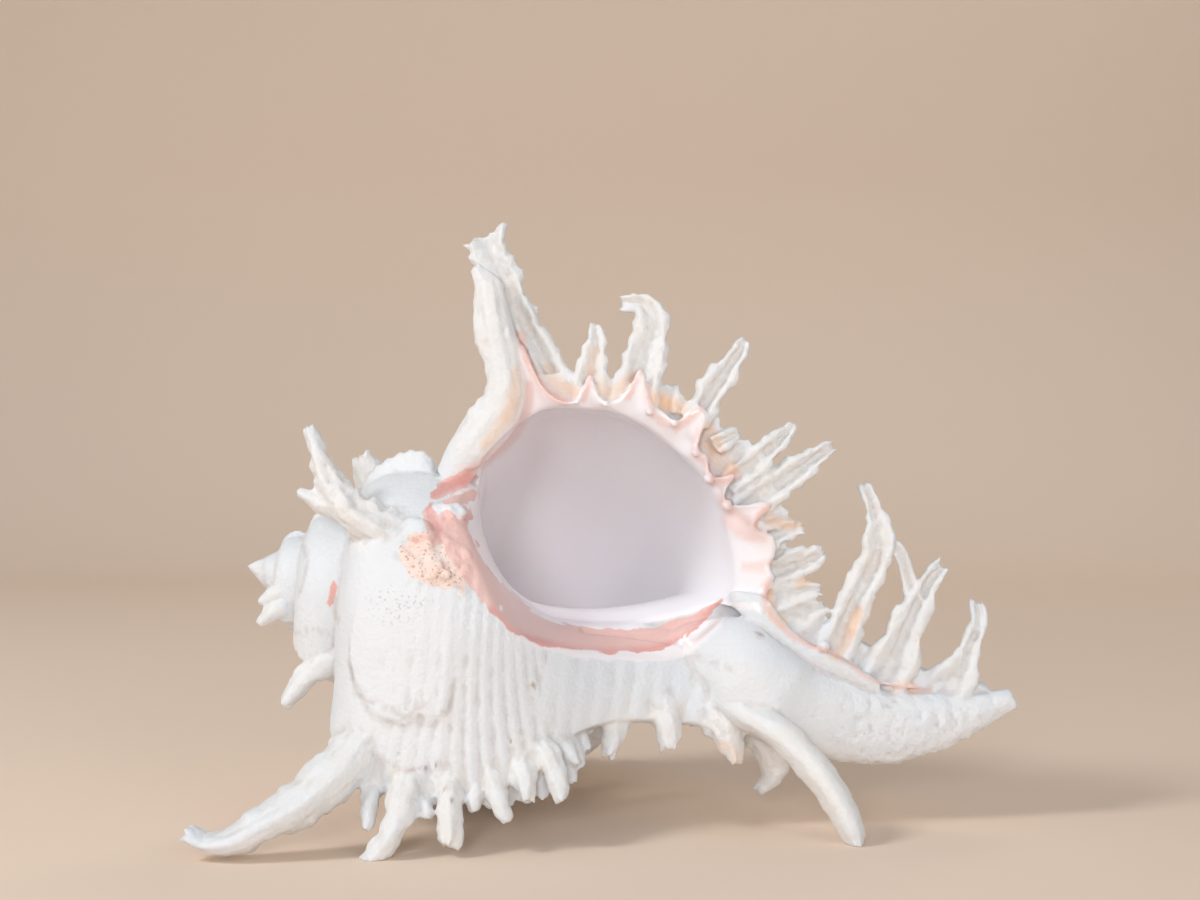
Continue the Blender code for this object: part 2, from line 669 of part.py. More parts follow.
def block(name, low, high):
    """An axis-aligned box as a helper object, in final coordinates in mm."""
    corners = [
        (x, y, z)
        for x in (low[0], high[0])
        for y in (low[1], high[1])
        for z in (low[2], high[2])
    ]
    faces = [(0, 1, 3, 2), (4, 6, 7, 5), (0, 4, 5, 1), (2, 3, 7, 6), (0, 2, 6, 4), (1, 5, 7, 3)]
    return mesh_object(name, [np.array(c) + FRAME_CENTRE for c in corners], faces)


def apply_boolean(target, other, operation):
    modifier = target.modifiers.new(operation.lower(), "BOOLEAN")
    modifier.operation = operation
    modifier.solver = "EXACT"
    modifier.object = other
    graph = bpy.context.evaluated_depsgraph_get()
    made = bpy.data.meshes.new_from_object(target.evaluated_get(graph))
    target.modifiers.clear()
    old = target.data
    target.data = made
    bpy.data.meshes.remove(old)
    bpy.data.objects.remove(other)


def shell_material():
    material = bpy.data.materials.new("shell")
    material.use_nodes = True
    surface = material.node_tree.nodes["Principled BSDF"]
    surface.inputs["Base Color"].default_value = (0.86, 0.84, 0.81, 1.0)
    surface.inputs["Roughness"].default_value = 0.55
    return material


def build():
    for obj in list(bpy.data.objects):
        bpy.data.objects.remove(obj)
    verts, faces = whorls(6, 14, 2, 18.0)
    shell = mesh_object("shell", verts, faces, shell_material())
    apply_boolean(shell, mesh_object("canal", *tube(canal_rings())), "UNION")
    apply_boolean(shell, mesh_object("old_canal", *tube(plate_rings(OLD_CANAL))), "UNION")
    apply_boolean(shell, mesh_object("lip_web", *tube(plate_rings(LIP_WEB))), "UNION")
    for number, (centres, widths, facing, thick) in enumerate(set_out_fronds()):
        frond = mesh_object(f"frond_{number}", *frond_mesh(centres, widths, facing, thick))
        apply_boolean(shell, frond, "UNION")
    apply_boolean(shell, mesh_object("hollow", *tube(hollow_rings(20, 18.0))), "DIFFERENCE")
    apply_boolean(shell, mesh_object("slit", *tube(slit_rings())), "DIFFERENCE")
    apply_boolean(shell, block("floor", (-200, -200, -60), (200, 200, 0)), "DIFFERENCE")
    return shell


build()
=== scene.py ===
"""Looks of the branched murex shell: one fine mesh in place of the faceted solid.

The growth rules and the places of the fronds are those of the solid. Here the
whorls also get their cords, growth lines and ledges, the fronds their folds and
lobed ends, and the mouth its flared and curled edge. The parts are hollowed out,
joined and remeshed as one skin, and then crinkled, thinned and coloured.
Lengths are in millimetres until the mesh is made.
"""

import math

import bmesh
import bpy
import numpy as np
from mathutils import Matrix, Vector, kdtree
from mathutils.bvhtree import BVHTree


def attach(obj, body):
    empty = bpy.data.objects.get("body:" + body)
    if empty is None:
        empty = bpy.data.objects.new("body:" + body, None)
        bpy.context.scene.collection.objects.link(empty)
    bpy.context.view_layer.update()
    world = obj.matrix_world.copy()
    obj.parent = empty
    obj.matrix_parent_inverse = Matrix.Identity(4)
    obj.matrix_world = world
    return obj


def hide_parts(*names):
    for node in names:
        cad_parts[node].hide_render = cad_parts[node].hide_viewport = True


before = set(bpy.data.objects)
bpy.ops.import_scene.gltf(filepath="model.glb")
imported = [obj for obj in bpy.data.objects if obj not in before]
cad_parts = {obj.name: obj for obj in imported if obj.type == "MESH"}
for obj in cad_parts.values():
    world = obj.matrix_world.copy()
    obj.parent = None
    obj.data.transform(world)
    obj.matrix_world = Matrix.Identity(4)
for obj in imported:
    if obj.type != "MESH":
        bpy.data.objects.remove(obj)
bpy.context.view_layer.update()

# Size of the skin's cells and of the meshes
MM = 0.001
VOXEL = 0.5
WHORL_DETAIL = ((60, 130, 4, 1.6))
MOST_TRIANGLES = 196000
FROND_SAMPLES = 40
GROUND_HALF = 200.0
GROUND_DEPTH = 60.0

# Growth of the whorls
APEX = np.array([-91.7, 0.0, 64.9])
AXIS_DIP_DEG = 12.0
WHORL_RATIO = 1.8
LIP_DEG = 8.0
OLDEST_DEG = -1260.0
TIP_AHEAD = 0.2
COLUMELLA_RADIUS = 7.0
COLUMELLA_END = 152.0

# Whorl outline at the lip as distance along the axis and radius, suture to base
PERIPHERY = (79.0, 61.0)
SHOULDER_OUTLINE = (
    (PERIPHERY[0] / WHORL_RATIO, PERIPHERY[1] / WHORL_RATIO), (45.5, 43), (49.5, 51), (57, 57), (67, 60),
    PERIPHERY,
)
BASE_OUTLINE = (
    PERIPHERY, (92, 60.5), (106, 57), (118, 50.8), (128, 42), (135, 30.5), (140, 18), (144, 6), (148, -8),
)

# Varices: turn angle and flange height at the scale of the lip
LAST_TURN_VARICES = ((0.0, 5.5), (-118.0, 18.0), (-230.0, 20.0))
OLD_VARIX_HEIGHT = 9.5
OLDER_TURNS = (360.0, 720.0, 1080.0)
VARIX_RISE_DEG = 42.0
VARIX_SWELL = 2.3
VARIX_DROP_DEG = 4.0
VARIX_ROWS = (-27.0, -17.0, -10.0, -5.0, 0.0, 1.3, 2.6, 4.0)

# Shoulder knobs between the varices: turn angle, outline position and height
KNOBS = ((-62.0, 0.85, 6.5), (-176.0, 0.85, 6.0))
KNOB_HALF_DEG = 17.0
KNOB_HALF_PLACE = 0.30

# Relief of the whorls, at the scale of the lip
CORD_PITCH = 4.7
CORD_HEIGHT = 1.9
THREAD_HEIGHT = 0.2
GROWTH_LINE_HEIGHT = 0.10
LEDGES = ((-300.0, 0.7, 2.0), (-150.0, 0.8, 2.4), (-92.0, 0.9, 2.6), (-38.0, 0.7, 2.2),
          (-196.0, 0.7, 2.0))

# Broken edges of older lips on the front: height, then outline place and turn
TORN_EDGES = (
    (2, ((0.46, -266), (0.52, -257), (0.60, -251), (0.70, -249), (0.78, -246.5), (0.88, -247.5),
        (0.98, -246.5), (1.03, -249.5), (1.07, -249), (1.11, -252), (1.13, -266))),
    (0.9, ((0.60, -241), (0.70, -238), (0.78, -237), (0.90, -235.5), (1.00, -235), (1.08, -237.5),
        (1.14, -241))),
)

# Hollow of the mouth: its centre at the lip, how far back it winds and how it narrows
MOUTH_CENTRE = (88.0, 33.0)
HOLLOW_OLDEST_DEG = -200.0
HOLLOW_STEP_DEG = 4.0
HOLLOW_SPOKES = 720
DEEP_SHRINK = 4.0

# Front view used to set out the details: view units right and down, depth in Y
EYE = np.array([0.0, -433.0, 95.0])
VIEW_SCALE = 1667.0
VIEW_CENTRE = (600.0, 450.0)
FRAME_CENTRE = np.array([5.918, 13.472, 0.0])
LENS_MM = 50.0
SENSOR_MM = 36.0
FRONT_DEPTH = 25.0

FORWARD = np.array([0.0, -1.0, 0.0])
BACKWARD = np.array([0.0, 1.0, 0.0])

# Flared edge of the mouth in the front view: right, down and depth of the edge
FLARE_CENTRE = (580.0, 560.0)
FLARE_EDGE = (
    (461, 469, -12.5), (476, 469, -11.2), (503, 442, -11.2), (519, 423, -11.2), (526, 405, -11.5),
    (527, 384, -11.5), (522, 362, -11.5), (520, 345, -12), (526, 353, -12), (533, 370, -12),
    (541, 385, -12), (552, 397, -12), (564, 403, -12), (577, 402, -12), (584, 388, -12), (591, 374, -12),
    (596, 395, -12), (607, 405, -12), (622, 400, -12), (632, 385, -12), (641, 368, -12), (646, 388, -12),
    (650, 410, -12), (661, 411, -12), (675, 423, -12), (684, 418, -12), (700, 406, -12), (706, 416, -12),
    (701, 432, -12), (696, 452, -12), (706, 455, -12), (709, 477, -12), (722, 478, -12), (735, 474, -12),
    (724, 491, -11), (727, 505, -10.5), (745, 506, -10), (770, 504, -10), (753, 524, -9.5),
    (758, 532, -9.5), (773, 537, -9.5), (774, 555, -9), (768, 565, -9), (773, 579, -9), (766, 591, -8.5),
    (766, 603, -8.5), (756, 606, -8), (729, 606, -7), (705, 633, -9), (682, 654, -10), (650, 657, -13),
    (620, 656, -17), (590, 655, -22), (560, 651, -28), (530, 643, -33), (510, 629, -36), (494, 612, -38),
    (479, 592, -39), (467, 572, -39.5), (456, 550, -39), (446, 530, -36.5), (437, 512, -32),
    (434, 496, -27), (440, 482, -21), (452, 473, -17.5),
)
INNER_EDGE = (
    (485, 459), (480, 480), (478, 500), (480, 522), (486, 543), (494, 562), (505, 581), (520, 598),
    (545, 614), (580, 621), (620, 622), (660, 617), (700, 607), (724, 598), (731, 588), (732, 563),
    (727, 534), (719, 507), (707, 484), (688, 462), (664, 441), (640, 424), (610, 412), (573, 409),
    (545, 410), (526, 420), (504, 439),
)
FLARE_ROLL = 1.6
NOTCH_ROLL = 3.2
NOTCH_ANGLE = -165.0
NOTCH_HALF_DEG = (25.0, 60.0)
LEAST_FLARE = 1.5
FLARE_STEPS = 14
LINING_ANGLES = (-141.0, 18.0)
LINING_THICK = 3.2
FLARE_FRONT = -58.0

# Curled rim along the outer part of the flared edge, and its white knobs
RIM_COUNT = 46
RIM_RADIUS = 0.5
KNOB_DEPTH = -12.2
RIM_TAIL = ((771, 614, -8.5), (785, 629, -9.0), (803, 643, -9.0), (830, 651, -9.0), (850, 663, -8.8),
            (872, 679, -8.0), (900, 686, -7.5), (935, 688, -6.5))
KNOBS_OF_RIM = ((577, 402, 0.9), (606, 404, 1.1), (650, 411, 1.3), (675, 423, 1.2), (696, 452, 1.3),
                (709, 478, 1.5), (727, 505, 1.6), (754, 529, 1.1), (768, 565, 1.2), (824, 646, 1.6))

# Loose white grains and lumps near the upper corner of the mouth: view, depth and radius
GRAINS = (
    (437, 509, -25.5, 1.5), (443, 506, -25, 1.2), (448, 511, -26.5, 1.7), (456, 508, -25, 1.5),
    (461, 513, -25.5, 1.6), (452, 517, -27.5, 1.2), (433, 513, -26, 0.9), (441, 517, -27.5, 1),
    (413, 527, -30, 2.6), (421, 530, -31, 2.9), (427, 536, -32, 1.9), (409, 535, -31.5, 2),
    (428, 547, -33.5, 1.3), (437, 570, -36.3, 1.6), (446, 574, -37, 1.3), (431, 576, -36.6, 1.1),
    (470, 466, -12.5, 1.3), (478, 463, -12.5, 1.2), (490, 566, -38.4, 1.2), (485, 557, -37.6, 1.3),
    (496, 574, -38.8, 0.9),
)

# Siphonal canal: view right, view down, depth, height and thickness
CANAL = (
    (664, 653, 0, 9, 9), (696, 652, -4, 16, 15), (732, 663, -8, 24, 20), (770, 692, -9, 24, 20),
    (800, 707, -7, 22.5, 19), (840, 719, -5, 21.5, 18), (880, 726, -4, 19.5, 16),
    (920, 723, -3, 16.5, 14), (955, 716, -2, 12.5, 12), (985, 707, -2, 8.5, 9), (1012, 698, -2, 5, 6),
)
CANAL_SLIT = (
    (724, 602, -12), (742, 612, -12.5), (760, 626, -13), (795, 652, -14), (830, 671, -16),
)
SLIT_WIDTH = 0.7
SLIT_DEPTH = 2.5
SLIT_REACH = 14.0

# Fronds as seen from the front: facing of the gutter, thickness, crinkle, then
# the centre line from root to tip as view right, view down, depth and width
LIP_FRONDS = (
    (BACKWARD, 4.4, 0.45, ((448, 480, -10, 30), (466, 458, -11, 46), (482, 439, -12, 52),
        (498, 416, -12, 50), (505, 393, -12, 42), (503, 368, -11, 40), (497, 340, -10, 44),
        (491, 307, -9, 34), (488, 288, -8, 30), (477, 270, -7, 9))),
    (FORWARD, 5, 1, ((572, 404, -9, 40), (556, 380, -7, 38), (540, 352, -5, 32), (524, 318, -4, 28),
        (509, 287, -3, 30), (494, 261, -2, 34), (486, 237, -1, 40))),
    (FORWARD, 4, 1, ((589, 404, -9, 36), (591, 382, -9, 33), (595, 358, -8, 26), (597, 340, -7, 17),
        (596, 327, -6, 9))),
    (FORWARD, 5, 1, ((634, 408, -9, 56), (638, 384, -9, 50), (645, 358, -8, 42), (651, 334, -7, 37),
        (649, 314, -6, 29), (641, 303, -5, 20), (627, 303, -4, 10))),
    (FORWARD, 3.5, 1, ((665, 412, -9, 28), (668, 397, -9, 26), (671, 386, -8, 16))),
    (FORWARD, 4.5, 1, ((694, 422, -9, 34), (708, 398, -9, 30), (724, 374, -8, 27), (738, 354, -7, 20),
        (745, 342, -6, 8))),
    (FORWARD, 3, 1, ((714, 446, -10, 22), (726, 438, -9, 18), (740, 432, -8, 9))),
    (FORWARD, 4, 1, ((726, 485, -7, 26), (744, 470, -7, 26), (766, 453, -7, 24), (782, 438, -6, 20),
        (792, 425, -5, 9))),
    (FORWARD, 4.5, 1, ((738, 512, -6, 34), (762, 496, -6, 34), (787, 478, -6, 30), (812, 460, -6, 24),
        (832, 447, -5, 10))),
    (FORWARD, 3.5, 1, ((744, 546, -5, 34), (768, 537, -6, 30), (788, 530, -6, 24), (801, 528, -6, 12))),
    (FORWARD, 4, 1, ((744, 582, -4, 34), (770, 573, -5, 30), (795, 565, -6, 29), (812, 558, -6, 26),
        (822, 553, -6, 14))),
    (FORWARD, 4, 1, ((748, 606, -4, 34), (772, 597, -5, 28), (798, 591, -6, 25), (818, 590, -6, 13))),
    (FORWARD, 4, 1, ((756, 636, -4, 38), (780, 623, -5, 40), (804, 613, -6, 30), (822, 606, -6, 14))),
    (FORWARD, 5, 0.85, ((818, 668, -5, 44), (838, 642, -6, 40), (850, 610, -6, 36), (861, 588, -6, 33),
        (871, 568, -5, 32), (879, 546, -5, 34), (877, 524, -4, 26), (872, 504, -3, 17),
        (865, 486, -2, 5))),
    (FORWARD, 5, 0.85, ((877, 686, -4, 54), (892, 664, -5, 54), (902, 640, -5, 44), (912, 616, -5, 34),
        (922, 594, -4, 27), (932, 578, -3, 18), (940, 568, -2, 8))),
    (FORWARD, 2.6, 0.4, ((915, 606, -4, 20), (909, 580, -4, 16), (902, 558, -4, 14), (896, 542, -4, 9))),
    (FORWARD, 4, 0.85, ((940, 692, -3, 54), (953, 680, -4, 46), (965, 660, -4, 28), (973, 640, -3, 20),
        (979, 622, -2, 15), (978, 606, -1, 6))),
)
FRONT_VARIX_FRONDS = (
    (BACKWARD, 9, 0.6, ((394, 700, -24, 54), (370, 738, -30, 56), (344, 768, -36, 55),
        (318, 790, -40, 52), (290, 810, -43, 45), (262, 825, -45, 37), (235, 839, -46, 30),
        (210, 842, -46, 20), (190, 835, -46, 7))),
    (BACKWARD, 3.6, 0.7, ((376, 782, -36, 24), (370, 802, -39, 18), (368, 816, -41, 16),
        (366, 831, -43, 11))),
    (BACKWARD, 5, 0.7, ((406, 780, -37, 40), (402, 802, -41, 34), (397, 820, -43, 30),
        (390, 837, -45, 25), (378, 854, -45, 23), (365, 863, -45, 15))),
    (BACKWARD, 3.5, 0.8, ((424, 795, -38, 18), (427, 810, -40, 15), (427, 819, -41, 11))),
    (BACKWARD, 4.5, 0.8, ((452, 780, -37, 36), (450, 800, -40, 32), (449, 818, -42, 26),
        (449, 830, -43, 27), (447, 843, -44, 23))),
    (BACKWARD, 3.5, 0.8, ((476, 785, -36, 22), (474, 800, -38, 18), (474, 812, -39, 12))),
    (BACKWARD, 4, 0.8, ((490, 768, -35, 28), (496, 790, -38, 23), (501, 806, -40, 19),
        (507, 820, -41, 13))),
    (BACKWARD, 4, 0.8, ((520, 758, -33, 34), (525, 778, -36, 28), (527, 799, -38, 15))),
    (BACKWARD, 4, 0.8, ((540, 740, -30, 30), (548, 758, -33, 26), (555, 774, -35, 22),
        (560, 790, -36, 18), (562, 801, -37, 12))),
    (BACKWARD, 3.6, 0.8, ((546, 720, -22, 28), (558, 738, -25, 22), (569, 753, -28, 16),
        (578, 763, -29, 8))),
    (BACKWARD, 4.5, 0.6, ((612, 702, -14, 38), (614, 727, -17, 29), (612, 742, -19, 24),
        (608, 756, -21, 11))),
    (BACKWARD, 4.5, 0.6, ((660, 702, -13, 40), (667, 724, -16, 30), (668, 737, -17, 26),
        (669, 748, -18, 20))),
    (BACKWARD, 4.5, 0.8, ((712, 704, -10, 46), (724, 728, -12, 36), (731, 745, -13, 27),
        (735, 761, -14, 14))),
    (BACKWARD, 6, 0.25, ((722, 696, -10, 40), (748, 715, -16, 32), (776, 731, -21, 32),
        (801, 753, -25, 33), (822, 779, -28, 32), (840, 806, -30, 30), (852, 830, -31, 24),
        (857, 847, -31.5, 14))),
    (BACKWARD, 5, 0.8, ((752, 715, -2, 48), (768, 742, -2, 42), (775, 762, -1, 34), (772, 776, -1, 22),
        (762, 787, 0, 9))),
)

# Fronds under the body that get a rib above their root, and that rib's start
LOW_FRONDS = [row[3] for row in FRONT_VARIX_FRONDS[1:9]]
LOW_ROOT = (0.0, -34.0, 5.0, 2.0)
LOW_SINK = 1.6

SPIRE_FRONDS = (
    (BACKWARD, 6, 1, ((414, 548, -24, 44), (392, 534, -26, 46), (366, 521, -27, 42), (344, 503, -27, 36),
        (329, 480, -26, 28), (320, 456, -25, 20), (312, 433, -24, 8))),
    (BACKWARD, 3.6, 0.8, ((352, 515, -26, 28), (330, 506, -26, 24), (312, 498, -26, 17),
        (299, 491, -26, 8))),
    (BACKWARD, 5, 0.8, ((400, 520, 6, 44), (386, 500, 6, 38), (374, 480, 6, 36), (362, 459, 6, 22))),
    (BACKWARD, 4, 0.6, ((338, 655, -17, 30), (318, 668, -18, 26), (300, 684, -19, 22),
        (285, 704, -20, 14))),
    (BACKWARD, 3, 0.6, ((285, 606, -10, 24), (270, 614, -11, 18), (260, 624, -11, 9))),
    (BACKWARD, 3, 0.6, ((284, 590, -9, 22), (270, 596, -9, 16), (260, 602, -9, 8))),
)

# Old canal plate under the mouth: view right, then top and bottom with depths
OLD_CANAL = (
    (530, 626, -25, 768, -32, 10), (560, 627, -21, 742, -27.5, 11), (590, 630, -15, 728, -23, 12),
    (620, 634, -10.5, 721, -19.5, 11), (655, 642, -7.5, 721, -16.5, 10), (695, 655, -5, 724, -14, 8),
    (728, 674, -6, 731, -12.5, 6.5), (752, 688, -7, 716, -10, 4),
)

# Web between the outer lip and the canal fronds, laid out like the old canal
LIP_WEB = (
    (746, 553, -1, 640, -1, 8), (785, 577, -3, 672, -3, 8), (819, 610, -3.5, 694, -3, 7.5),
    (848, 634, -3.5, 706, -2, 7), (873, 648, -3, 710, -1, 6.5), (905, 660, -3, 710, -1, 6),
    (932, 673, -2.5, 707, -1, 5.5), (962, 678, -2.5, 704, -1, 5), (988, 686, -2, 702, -1, 4),
)

# Smooth foot of the flare that runs down onto the canal, laid out like the old canal
FLARE_FOOT = (
    (729, 592, -5, 604, -6, 4), (740, 592, -7, 612, -8.5, 5), (754, 594, -8.5, 624, -10, 5),
    (768, 600, -9.3, 636, -10.5, 5), (786, 624, -9.8, 650, -10.8, 4.5), (812, 645, -10, 664, -10.6, 4.5),
    (845, 660, -9.8, 678, -10, 4), (880, 682, -8.6, 692, -8.6, 3),
)

# Pitch and height of the ribs on those plates
OLD_CANAL_RIBS = (19.0, 0.55)
LIP_WEB_RIBS = (17.0, 0.6)
NO_RIBS = (40.0, 0.0)

# Long spine of the back varix: X, Y, Z and width, shoulder to floor
BACK_SPINE = (
    (-50, 26, 52, 27), (-56, 40, 41, 24), (-61, 53, 28, 20), (-64, 63, 13, 16), (-65, 70, -2, 10),
)

# Fronds of the back varix: outline position, height, width, lean and droop
BACK_VARIX_DEG = -118.0
BACK_FRONDS = (
    (0.66, 17, 9, -0.30, 0.25), (0.90, 37, 12, -0.10, 0.95), (1.08, 14, 8, 0.00, 0.30),
    (1.22, 19, 10, 0.10, 0.35), (1.36, 12, 8, 0.20, 0.20), (1.50, 16, 9, 0.35, 0.25),
    (1.64, 12, 7, 0.35, 0.15),
)

# Detail of the fronds: pitches along them, and the lobed tip
LOBE_PITCH = 5.2
TEAR_PITCH = 4.5
FOLD_PITCH = 2.2
FAN_START = 0.80
TIP_NOTCHES = 1.35

# Section of a frond: across in half widths, and depth towards its hollow side
GUTTER = (
    (-1, 0.05), (-0.62, 0.42), (0, -0.22), (0.62, 0.42), (1, 0.05), (0.58, -0.62), (0, -0.85),
    (-0.58, -0.62),
)


def smooth_max(first, second, width):
    """The larger of two values, rounded where they cross."""
    return 0.5 * (first + second + np.sqrt((first - second) ** 2 + width ** 2))


def ramp(value, start, end):
    """Smooth step from 0 at start to 1 at end."""
    x = np.clip((value - start) / (end - start), 0.0, 1.0)
    return x * x * (3.0 - 2.0 * x)


def together(*values):
    """Points from coordinates that are numbers or arrays of one shape."""
    return np.stack(np.broadcast_arrays(*values), axis=-1)


def unit(vectors):
    """Vectors of length 1 in the same directions."""
    return vectors / np.linalg.norm(vectors, axis=-1, keepdims=True)


def run_length(points):
    """Distance along a chain of points, from 0 at its start."""
    steps = np.linalg.norm(np.diff(points, axis=0), axis=1)
    return np.concatenate([[0.0], np.cumsum(steps)])


def spline(points, count):
    """Points evenly spaced along a smooth curve through the given points."""
    pts = np.asarray(points, float)
    ends = np.vstack([2 * pts[0] - pts[1], pts, 2 * pts[-1] - pts[-2]])
    fine = []
    for i in range(len(pts) - 1):
        p0, p1, p2, p3 = ends[i : i + 4]
        for f in np.arange(0.0, 1.0, 0.05):
            even = 2 * p1 + (p2 - p0) * f
            bend = (2 * p0 - 5 * p1 + 4 * p2 - p3) * f ** 2
            twist = (3 * p1 - p0 - 3 * p2 + p3) * f ** 3
            fine.append(0.5 * (even + bend + twist))
    fine.append(pts[-1])
    fine = np.array(fine)
    along = run_length(fine)
    wanted = np.linspace(0.0, along[-1], count)
    return np.stack([np.interp(wanted, along, c) for c in fine.T], axis=1)


def view_point(right, down, depth):
    """The point at this depth that the front view shows at (right, down)."""
    right = np.asarray(right, float)
    away = np.asarray(depth, float) - EYE[1]
    x = (right - VIEW_CENTRE[0]) * away / VIEW_SCALE
    z = EYE[2] - (np.asarray(down, float) - VIEW_CENTRE[1]) * away / VIEW_SCALE
    return together(x, away + EYE[1], z)


def in_view(points):
    """Front view position, right and down, of points in millimetres."""
    away = points[:, 1] - EYE[1]
    right = VIEW_CENTRE[0] + points[:, 0] * VIEW_SCALE / away
    down = VIEW_CENTRE[1] - (points[:, 2] - EYE[2]) * VIEW_SCALE / away
    return right, down


def lattice(ix, iy, iz, seed):
    """Repeatable value from 0 to 1 at every lattice point."""
    n = (ix * 73856093) ^ (iy * 19349663) ^ (iz * 83492791) ^ (seed * 26544357)
    n = (n ^ (n >> 13)) & 0xFFFFFFF
    n = (n * 1274126177) & 0x7FFFFFFFFFFF
    n = n ^ (n >> 15)
    return (n & 0xFFFF) / 65535.0


def noise(points, size, seed):
    """Smooth noise from -1 to 1 with lumps of about this size."""
    scaled = np.asarray(points, float) / size
    base = np.floor(scaled).astype(np.int64)
    f = scaled - base
    f = f * f * (3.0 - 2.0 * f)
    total = np.zeros(scaled.shape[:-1])
    for dx in (0, 1):
        for dy in (0, 1):
            for dz in (0, 1):
                weight = np.abs(1 - dx - f[..., 0]) * np.abs(1 - dy - f[..., 1])
                weight = weight * np.abs(1 - dz - f[..., 2])
                corner = lattice(base[..., 0] + dx, base[..., 1] + dy, base[..., 2] + dz, seed)
                total += weight * corner
    return 2.0 * total - 1.0


DIP = math.radians(AXIS_DIP_DEG)
AXIS = np.array([math.cos(DIP), 0.0, -math.sin(DIP)])
UPWARD = np.array([math.sin(DIP), 0.0, math.cos(DIP)])


def growth(turn):
    return WHORL_RATIO ** (np.asarray(turn, float) / 360.0)


def radial(turn):
    """Unit direction away from the axis at a turn angle."""
    phi = np.radians(LIP_DEG + np.asarray(turn, float))
    return np.cos(phi)[..., None] * UPWARD + np.sin(phi)[..., None] * FORWARD


def axis_point(along, out, turn):
    along = np.asarray(along, float)[..., None]
    out = np.asarray(out, float)[..., None]
    return APEX + along * AXIS + out * radial(turn)


def outline_grid(band, base, column):
    """Outline samples: position 0 to 3, axis distance, radius and normal."""
    shoulder = spline(SHOULDER_OUTLINE, band + 1)
    lower = spline(BASE_OUTLINE, base + 1)
    points = np.vstack([shoulder, lower[1:]])
    place = np.concatenate([np.linspace(0, 1, band + 1), 1 + np.arange(1, base + 1) / base])
    slope = unit(np.gradient(points, axis=0))
    normal = together(-slope[:, 1], slope[:, 0])
    extra = np.arange(1, column + 1) / column
    points = np.vstack([points, np.repeat(points[-1:], column, axis=0)])
    normal = np.vstack([normal, np.repeat(normal[-1:], column, axis=0)])
    return np.concatenate([place, 2 + extra]), points, normal


def swelling(since):
    """Share of full varix height before its edge, at an angle since the edge."""
    return np.clip(1.0 + since / VARIX_RISE_DEG, 0.0, 1.0) ** VARIX_SWELL


def varix_rise(turn):
    """Share of full flange height at each turn angle, over all varices."""
    total = np.zeros(turn.shape)
    for back in (0.0,) + OLDER_TURNS:
        for at, _ in LAST_TURN_VARICES:
            since = turn - (at - back)
            total += np.where(since <= 0.0, swelling(since), 0.0)
    return total


def flange(turn, place):
    """Height of varix flanges and knobs above the plain whorl, at the scale of the lip."""
    turn = np.asarray(turn, float)[:, None]
    place = np.asarray(place, float)[None, :]
    total = np.zeros(np.broadcast(turn, place).shape)
    new_shape = ramp(place, 0.2, 0.8) * (1.0 - 0.75 * ramp(place, 1.40, 1.62))
    new_shape = new_shape * (1.0 - ramp(place, 1.7, 1.95))
    old_shape = np.clip(np.sin(np.pi * np.clip(place, 0.0, 1.0) ** 3), 0.0, 1.0) ** 0.8
    varices = [(at, tall, new_shape) for at, tall in LAST_TURN_VARICES]
    for back in OLDER_TURNS:
        varices += [(at - back, OLD_VARIX_HEIGHT, old_shape) for at, _ in LAST_TURN_VARICES]
    for at, tall, shape in varices:
        since = turn - at
        fall = np.clip(1.0 - since / VARIX_DROP_DEG, 0.0, 1.0)
        total += tall * np.where(since <= 0.0, swelling(since), fall) * shape
    for at, middle, tall in KNOBS:
        far = ((turn - at) / KNOB_HALF_DEG) ** 2 + ((place - middle) / KNOB_HALF_PLACE) ** 2
        total += tall * np.exp(-far)
    return total


def lip_step(since, slope, drop):
    """Height share of an old lip: a long rise of about slope degrees and a short drop."""
    return np.where(since < 0.0, np.exp(since / slope), np.clip(1.0 - since / drop, 0.0, 1.0))


def relief(turn, place, length):
    """Cords, threads, growth lines and ledges, at the scale of the lip."""
    turn = np.asarray(turn, float)[:, None]
    place = np.asarray(place, float)[None, :]
    length = np.asarray(length, float)[None, :]
    spot = together(turn / 9.0, length / 9.0, 0.0)
    shift = length + 0.25 * noise(spot, 1.6, 3) + 0.8 * noise(spot, 4.0, 4)
    cord = np.abs(np.cos(np.pi * shift / CORD_PITCH)) ** 0.8
    cord = cord * (0.94 + 0.06 * noise(spot, 0.7, 8))
    thread = 0.5 + 0.5 * np.cos(2 * np.pi * shift * 3.0 / CORD_PITCH)
    where = 0.45 * ramp(place, 0.75, 0.95) + 0.55 * ramp(place, 1.0, 1.25)
    where = where * (1.0 - ramp(place, 1.8, 2.0))
    where = np.where(turn < -360.0, 0.75 * ramp(place, 0.15, 0.5), where)
    strength = 0.60 + 0.16 * noise(spot, 3.0, 5) + 1.1 * varix_rise(turn)
    total = CORD_HEIGHT * where * strength * cord
    total += THREAD_HEIGHT * where * thread
    fine = together(turn / 1.1, length / 16.0, 0.0)
    total += GROWTH_LINE_HEIGHT * noise(fine, 1.0, 6)
    total += 0.5 * GROWTH_LINE_HEIGHT * noise(fine, 3.1, 7)
    for number, (at, tall, wave) in enumerate(LEDGES):
        scallop = wave * (np.abs(np.sin(length / (6.0 + number) + number)) - 0.4)
        since = turn - at - scallop - 1.5 * noise(spot, 1.4, 20 + number)
        step = lip_step(since, 7.0, 0.9)
        reach = ramp(place, 0.15, 0.4) * (1.0 - ramp(place, 1.25, 1.5))
        total += tall * step * reach
    for tall, edge in TORN_EDGES:
        at = np.interp(place, [e[0] for e in edge], [e[1] for e in edge])
        step = lip_step(turn - at - 0.6 * noise(spot, 0.6, 40), 12.0, 0.8)
        reach = ramp(place, edge[0][0] - 0.03, edge[0][0] + 0.05)
        reach = reach * (1.0 - ramp(place, edge[-1][0] - 0.04, edge[-1][0] + 0.02))
        total += tall * step * reach
    return total


